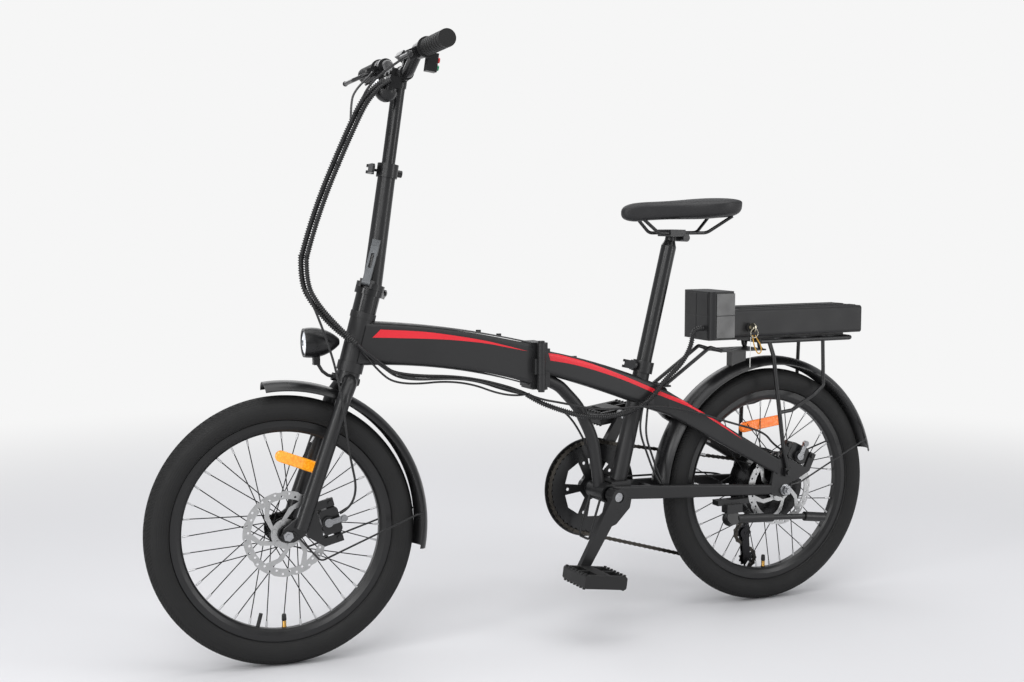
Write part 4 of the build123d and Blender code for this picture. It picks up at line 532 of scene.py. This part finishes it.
# ---- mudguards --------------------------------------------------------------------
# Mudguards are extruded polycarbonate with a glossy black skin over a faint long grain;
# wire stays hold them off the axles.
guard, tree, shader = start("gloss_black_mudguard", "#0f0f10", 0.3)
place = mottle(tree, shader, "#0e0e0f", "#19191a", 50, 0.3, 0.06)
ripple = add(tree, "ShaderNodeTexNoise", {"Vector": place, "Scale": 1 / (5 * MM), "Detail": 2.0})
relief(tree, shader, ripple.outputs["Fac"], 0.06)
dress(guard, "front_fender", "rear_fender")


# ---- headlight --------------------------------------------------------------------
# A bullet lamp in black ABS. Its clear lens covers a metallised bowl with a small
# lamp in the middle, inside a raised rim; the bowl also carries a painted glow for the light it reflects.
def abs_plastic(name, dark, light, rough, grain=0.9, depth=0.06):
    """Moulded ABS with the fine spark-eroded texture of its mould."""
    made, tree, shader = start(name, dark, rough, 0.0, 0.4)
    place = mottle(tree, shader, dark, light, 45, rough, 0.06)
    spark = add(tree, "ShaderNodeTexNoise", {"Vector": place, "Scale": 1 / (grain * MM), "Detail": 3.0,
                "Roughness": 0.7})
    relief(tree, shader, spark.outputs["Fac"], depth)
    return made


smooth_abs = abs_plastic("smooth_black_abs", "#111112", "#1a1a1b", 0.32, 1.5, 0.02)
dress(smooth_abs, "headlight", "bar_controls")
lamp_way = axle_way["front"].cross(Vector((0, 0, 1))).normalized()
lamp_pin = Vector(joints["headlight_tilt"]["pos_m"])
lens_front = lamp_pin + lamp_way * (18.5 * MM) + Vector((0, 0, 36 * MM))
bowl, tree, shader = start("metallised_lamp_bowl", "#e9edf2", 0.16, 1.0)
place = add(tree, "ShaderNodeTexCoord").outputs["Object"]
facets = add(tree, "ShaderNodeTexVoronoi", {"Vector": place, "Scale": 1 / (5 * MM)})
tone = add(tree, "ShaderNodeMix", {0: facets.outputs["Distance"], 6: rgb("#ffffff"), 7: rgb("#c6ccd4")},
           data_type="RGBA")
tree.links.new(tone.outputs[2], shader.inputs["Base Color"])
# The emission is a painted glow that stands in for light reflected in the bowl.
shader.inputs["Emission Color"].default_value = rgb("#f4f8ff")
shader.inputs["Emission Strength"].default_value = 0.55
relief(tree, shader, facets.outputs["Distance"], 0.5)
lathe("headlight_lens", lens_front, lamp_way,
      ((-1.5, 23.5), (1.0, 23.5), (3.0, 21.5), (4.6, 17), (5.8, 11), (6.4, 5), (6.6, 1)),
      bowl, "headlight", sides=64)
chrome = plated("chromed_bulb_cap", "#5f6266", "#9a9da2", 0.2, 1.0)
lathe("headlight_bulb_cap", lens_front + lamp_way * (5.9 * MM), lamp_way,
      ((0, 6), (1.0, 5.6), (1.8, 4), (2.2, 1)), chrome, "headlight")


# ---- grips, pedals and buttons ----------------------------------------------------
# Grips are moulded rubber with turned grooves and a fine diamond grain. The pedals are
# black nylon with amber reflectors let into both edges; the push buttons are glossy.
soft_rubber, tree, shader = start("moulded_grip_rubber", "#151515", 0.6, 0.0, 0.35)
place = mottle(tree, shader, "#121212", "#1d1d1d", 25, 0.6, 0.06)
grain = add(tree, "ShaderNodeTexVoronoi", {"Vector": place, "Scale": 1 / (1.6 * MM)})
relief(tree, shader, grain.outputs["Distance"], 0.2)
dress(soft_rubber, "grips")
nylon = abs_plastic("glass_filled_nylon", "#131313", "#1e1e1e", 0.5, 1.1, 0.09)
dress(nylon, "left_pedal", "right_pedal")
for word, deep, bright in (("red", "#c01418", "#e3262a"), ("green", "#0a7a52", "#13a06e")):
    made, tree, shader = start(f"glossy_{word}_button", deep, 0.22)
    mottle(tree, shader, deep, bright, 8, 0.22, 0.06)
    shader.inputs["Coat Weight"].default_value = 0.3
    dress(made, f"{word}_button")

INSET = 4.7                  # from the pedal's edge to the middle of its reflector
for body in ("left_pedal", "right_pedal"):
    low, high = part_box(body)
    middle = (Vector(low) + Vector(high)) / 2
    for end, x, sign in (("front", high[0], 1), ("rear", low[0], -1)):
        spot = Vector((x - sign * INSET * MM, middle.y, middle.z))
        bar(f"{body}_{end}_reflector", spot, Vector((0, 1, 0)), Vector((sign, 0, 0)), 44, 12, 5,
            amber, body)


# ---- battery and dock -------------------------------------------------------------
# The battery case and its dock are textured ABS; the dock's side cheeks are polished. The
# key is nickel brass, with a loop of yellow string and a thin white cord tied to it.
case = abs_plastic("textured_black_abs", "#151516", "#202021", 0.44, 1.3, 0.09)
dress(case, "battery", "battery_dock")
key_brass = plated("nickel_plated_brass", "#8f8a7a", "#cfc9b8", 0.28, 0.8)
dress(key_brass, "battery_key")


def boxes(name, spans, material, body, chamfer=0.8):
    """Several moulded bars with eased edges: spans are (x0, x1, y0, y1, z0, z1) in mm."""
    points, faces = [], []
    for x0, x1, y0, y1, z0, z1 in spans:
        first = len(points)
        for z, c in ((z0, 0.0), (z1 - chamfer, 0.0), (z1, chamfer)):
            for x, y in ((x0 + c, y0 + c), (x1 - c, y0 + c), (x1 - c, y1 - c), (x0 + c, y1 - c)):
                points.append(at(x, y, z))
        for ring in (0, 4):
            for k in range(4):
                m = (k + 1) % 4
                faces.append(tuple(first + ring + v for v in (k, m, m + 4, k + 4)))
        faces.append(tuple(first + v for v in (3, 2, 1, 0)))
        faces.append(tuple(first + v for v in (8, 9, 10, 11)))
    made = new_mesh(name, points, faces, smooth=False)
    made.data.materials.append(material)
    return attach(made, body)


# Long ribs stiffen the case's lid, and a polished cheek with a moulded seam covers each
# side of the dock.
boxes("battery_lid_ribs", [(-205, 100, y - 1.6, y + 1.6, 641.8, 644) for y in (-40, -32, -24, 24, 32, 40)],
      case, "battery")
boxes("battery_end_cap", [(-215.6, -209, -47, 47, 586, 640)], case, "battery")
polished = abs_plastic("polished_black_abs", "#0d0d0e", "#161617", 0.14, 3.0, 0.01)
for side, word in ((1, "left"), (-1, "right")):
    y0, y1 = sorted((side * 54.6, side * 56.4))
    boxes(f"dock_cheek_{word}", [(121, 166, y0, y1, 584, 630), (121, 166, y0, y1, 631, 677)],
          polished, "rear_frame", 0.4)
boxes("dock_front_seams", [(179.4, 180.6, y0, y1, z0, z1) for z0, z1 in ((584, 629), (631, 677))
                           for y0, y1 in ((-42, -1), (1, 42))], case, "rear_frame", 0.3)


# ---- rack feet --------------------------------------------------------------------
# The rack's two front struts end on a small steel plate that is bolted across the top of
# the beam behind the seat tube.
boxes("rack_foot_plate", [(257, 276, -26.5, 26.5, 483.5, 487.5)], part_coat, "rear_frame")
for side, word in ((1, "left"), (-1, "right")):
    lathe(f"rack_foot_bolt_{word}", at(266, side * 22, 486), Vector((0.45, 0, 0.9)),
          ((0, 6), (5, 6), (6, 5), (6.4, 2)), part_coat, "rear_frame", sides=6)


# ---- saddle -----------------------------------------------------------------------
# A foam pad under black vinyl: long narrow nose, wide raised tail, rolled edges and a
# welded seam round the skirt. The vinyl has a fine leather grain and no stitching.
vinyl, tree, shader = start("grained_saddle_vinyl", "#161617", 0.5, 0.0, 0.45)
place = mottle(tree, shader, "#141415", "#202022", 35, 0.5, 0.07)
cells = add(tree, "ShaderNodeTexVoronoi", {"Vector": place, "Scale": 1 / (1.7 * MM)}, feature="F1")
relief(tree, shader, cells.outputs["Distance"], 0.12)
STATIONS = (
    # x, half width, top at the middle, top's edge, lowest edge
    (97, 26, 868, 862, 846), (100, 44, 871, 864, 842), (108, 61, 873.5, 866, 838), (122, 73, 875.5, 867, 834),
    (142, 80, 876, 865, 831), (165, 80, 875, 862, 829), (188, 72, 873.5, 860, 828), (210, 57, 872, 858, 828),
    (232, 44, 870.5, 856, 828), (256, 34, 869, 855, 828), (282, 27.5, 868, 854, 827),
    (308, 23.5, 867, 853, 826),
    (330, 20.5, 865.5, 852, 826), (347, 17, 862, 849, 828), (357, 12, 857, 846, 832), (362, 6, 851, 845, 838),
)


def saddle():
    points, faces, round_ = [], [], 28
    for x, half, top, edge, bottom in STATIONS:
        for k in range(round_):
            a = 2 * math.pi * k / round_
            c, s = math.cos(a), math.sin(a)
            y = half * math.copysign(abs(c) ** 0.78, c)
            if s >= 0:
                z = edge + (top - edge) * s ** 0.85
            else:
                z = edge - (edge - bottom) * abs(s) ** 0.62
            if s < -0.5 and 130 < x < 330:
                z += 3.0 * (abs(s) - 0.5) * 2
            points.append(at(x, y, z))
    n = round_
    for i in range(len(STATIONS) - 1):
        for k in range(n):
            m = (k + 1) % n
            faces.append((i * n + k, (i + 1) * n + k, (i + 1) * n + m, i * n + m))
    faces.append(tuple(range(n)))
    faces.append(tuple((len(STATIONS) - 1) * n + k for k in range(n))[::-1])
    made = new_mesh("saddle_pad", points, faces)
    smooth = made.modifiers.new("rounded", "SUBSURF")
    smooth.levels = smooth.render_levels = 2
    made.data.materials.append(vinyl)
    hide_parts("saddle")
    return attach(made, "seatpost")


saddle()


# ---- cables -----------------------------------------------------------------------
# Brake, gear, display and motor leads run together inside a black ribbed sleeve: from the
# bar in a free loop to the lamp, then back past the head tube and under the main tube.
jacket, tree, shader = start("polyethylene_cable_sleeve", "#111112", 0.36, 0.0, 0.5)
place = mottle(tree, shader, "#0e0e0f", "#1b1b1c", 12, 0.36, 0.07)
nicks = add(tree, "ShaderNodeTexNoise", {"Vector": place, "Scale": 1 / (1.0 * MM), "Detail": 2.0})
relief(tree, shader, nicks.outputs["Fac"], 0.04)


def route_points(route, spacing):
    """Points spacing mm apart along the smooth line that a route's points control."""
    curve = bpy.data.curves.new("route", "CURVE")
    curve.dimensions = "3D"
    curve.resolution_u = 24
    spline = curve.splines.new("NURBS")
    spline.points.add(len(route) - 1)
    for point, place in zip(spline.points, route):
        point.co = (*at(*place), 1.0)
    spline.order_u, spline.use_endpoint_u = 3, True
    made = bpy.data.objects.new("route", curve)
    bpy.context.scene.collection.objects.link(made)
    bpy.context.view_layer.update()
    line = [v.co.copy() for v in bpy.data.meshes.new_from_object(made).vertices]
    bpy.data.objects.remove(made)
    out, left = [line[0]], spacing * MM
    for a, b in zip(line, line[1:]):
        step = (b - a).length
        while step > 1e-9 and left <= step:
            a = a + (b - a) * (left / step)
            out.append(a.copy())
            step = (b - a).length
            left = spacing * MM
        left -= step
    return out


def sleeve(name, line, radius, rib=0.0, pitch=3.0, helix=False, sides=16):
    """A tube along a line, ribbed like a spiral wrap where rib is more than nothing."""
    points, faces = [], []
    way = (line[1] - line[0]).normalized()
    side = way.orthogonal().normalized()
    walked = 0.0
    for i, p in enumerate(line):
        here = (line[min(i + 1, len(line) - 1)] - line[max(i - 1, 0)]).normalized()
        side = (side - here * side.dot(here)).normalized()
        other = here.cross(side)
        if i:
            walked += (p - line[i - 1]).length / MM
        for k in range(sides):
            a = 2 * math.pi * k / sides
            turn = walked / pitch + (k / sides if helix else 0.0)
            r = radius + rib * (0.5 + 0.5 * math.cos(2 * math.pi * turn)) ** 2
            points.append(p + (side * math.cos(a) + other * math.sin(a)) * (r * MM))
    for i in range(len(line) - 1):
        for k in range(sides):
            m = (k + 1) % sides
            faces.append((i * sides + k, i * sides + m, (i + 1) * sides + m, (i + 1) * sides + k))
    faces.append(tuple(range(sides))[::-1])
    faces.append(tuple((len(line) - 1) * sides + k for k in range(sides)))
    made = new_mesh(name, points, faces)
    made.data.materials.append(jacket)
    return made


loop = ((888, 34, 1090), (922, 36, 1072), (961, 32, 998), (1030, 30, 842), (1051, 28, 762))
line = route_points(loop, 0.7)
third, half = len(line) // 3, len(line) // 2
upper = sleeve("bar_loop_upper", line[:half + 9], 4.2, 2.3, 4.6, True)
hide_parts("bar_cables")
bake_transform(upper)
lower = sleeve("bar_loop_lower", line[half:], 4.2, 2.3, 4.6, True)
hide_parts("bar_cables")
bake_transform(lower)
second = tuple((x - 7, y + 11, z) for x, y, z in loop)
line = route_points(second, 0.7)
upper = sleeve("bar_second_loop_upper", line[:half + 9], 3.4, 1.9, 4.2, True)
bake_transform(upper)
lower = sleeve("bar_second_loop_lower", line[half:], 3.4, 1.9, 4.2, True)
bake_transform(lower)

for name, route in (
    ("left_lever_lead", ((876.0, 132.5, 1129.0), (874.3, 104.5, 1127.9), (930, 76, 1084),
                         (944, 50, 1042), (951, 42, 1028))),
    ("right_lever_lead", ((849.2, -146.2, 1121.6), (854.5, -110.5, 1121.8), (912, -70, 1078),
                          (936, -20, 1046), (950, 20, 1010))),
):
    made = sleeve(name, route_points(route, 4), 2.2)
    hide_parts("bar_cables")
    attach(made, "upper_post")

foot = ((1050.4, 28, 770), (1053, 28, 720), (1030, 33, 676), (985, 38, 626), (950.4, 39, 604))
line = route_points(foot, 0.7)
made = sleeve("head_loop", line, 4.2, 2.3, 4.6, True)
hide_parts("head_cables")
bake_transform(made)
line = route_points(tuple((x - 7, y + 11, z) for x, y, z in foot[:-1]) + ((952, 47, 604),), 0.7)
made = sleeve("second_head_loop", line, 3.4, 1.9, 4.2, True)
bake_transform(made)
line = route_points(((1046, 40, 708), (1008, 54, 612), (990, 78, 500), (984, 84, 420),
                     (952.0, 58.7, 303.6), (992.0, 49.8, 286.7)), 4)
made = sleeve("front_brake_lead", line, 2.2)
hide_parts("head_cables")
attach(made, "fork")

under = ((949.2, 38.9, 602.9), (900, 34, 556), (850, 24, 536), (720, 18, 527), (612, 12, 498), (582, 6, 484))
line = route_points(under, 1.5)
made = sleeve("main_bundle", line, 3.6)
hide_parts("main_cables")
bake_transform(made)
for k, (dy, dz, sag) in enumerate(((6, -2, 6), (-6, -1, 10), (3, 3, 2), (-3, -5, 14))):
    route = [under[0]]
    for n, (x, y, z) in enumerate(under[1:-1]):
        route.append((x + 6 * (k - 1.5), y + dy, z + dz - sag * (n % 2)))
    route.append(under[-1])
    made = sleeve(f"main_lead_{k + 1}", route_points(route, 3), 2.0)
    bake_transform(made)

back = ((580.4, 5.68, 483.25), (554, 8, 466), (520, 26, 452), (470, 32, 436), (410, 33, 430), (350, 33, 440),
        (306, 32, 464), (276, 32, 500), (236, 34, 532), (210, 30, 570), (205, 26, 604), (180.5, 26, 604))
made = sleeve("rear_bundle", route_points(back, 0.7), 4.0, 2.0, 4.6, True)
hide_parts("rear_cables")
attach(made, "rear_frame")
for name, route in (
    ("left_drop_lead", ((322, 27, 458), (330, 31, 436), (336, 33, 396), (318, 33, 350),
                        (300, 38, 300), (290, 45, 284))),
    ("right_drop_lead", ((312, 27, 454), (318, 32, 430), (322, 34, 386), (306, 34, 344),
                         (292, 38, 302), (284, 45, 283))),
    ("rear_brake_lead", ((580.4, 8.5, 484), (558, 18, 474), (524, 40, 468), (430, 42, 446), (330, 50, 452),
                         (240, 70, 440), (150, 80, 410), (60, 82, 384),
                         (22.4, 64.0, 349.5), (-10.5, 63.5, 331.2))),
    ("gear_lead", ((580.4, 3, 482.5), (556, -9, 468), (522, -27, 458), (470, -30, 436), (428, -30, 372),
                   (398, -34, 300), (340, -38, 290), (250, -47, 286),
                   (120, -64, 279), (40, -80.5, 262), (14, -80.5, 226))),
):
    made = sleeve(name, route_points(route, 4), 2.2)
    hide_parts("rear_cables")
    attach(made, "rear_frame")


# ---- key strings ------------------------------------------------------------------
# The key ring holds a loop of waxed yellow string, both ends tied to it, and a thin white
# tag cord that hangs straight down to its cut end.
yellow, tree, shader = start("waxed_yellow_string", "#c7963c", 0.7)
place = mottle(tree, shader, "#a87a2c", "#ddb053", 3, 0.7, 0.08)
lay = add(tree, "ShaderNodeTexNoise", {"Vector": place, "Scale": 1 / (0.8 * MM)})
relief(tree, shader, lay.outputs["Fac"], 0.2)
white, tree, shader = start("white_tag_cord", "#d8d8d4", 0.7)
mottle(tree, shader, "#c4c4c0", "#ecece8", 3, 0.7, 0.08)


def string(name, route, diameter, material):
    line = route_points(route, 1.0)
    line.append(at(*route[-1]))
    made = sleeve(name, line, diameter / 2, sides=10)
    made.data.materials.clear()
    made.data.materials.append(material)
    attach(made, "battery_key")


string("yellow_key_string", ((80, 62, 588), (79, 64, 574), (76, 66, 560), (68, 67, 547), (59, 66, 553),
                             (61, 65, 568), (70, 63, 580), (73, 62, 588)), 2.6, yellow)
string("white_tag_cord", ((84, 62, 584), (85, 62.5, 566), (86, 63, 545), (86, 63, 520)), 1.4, white)
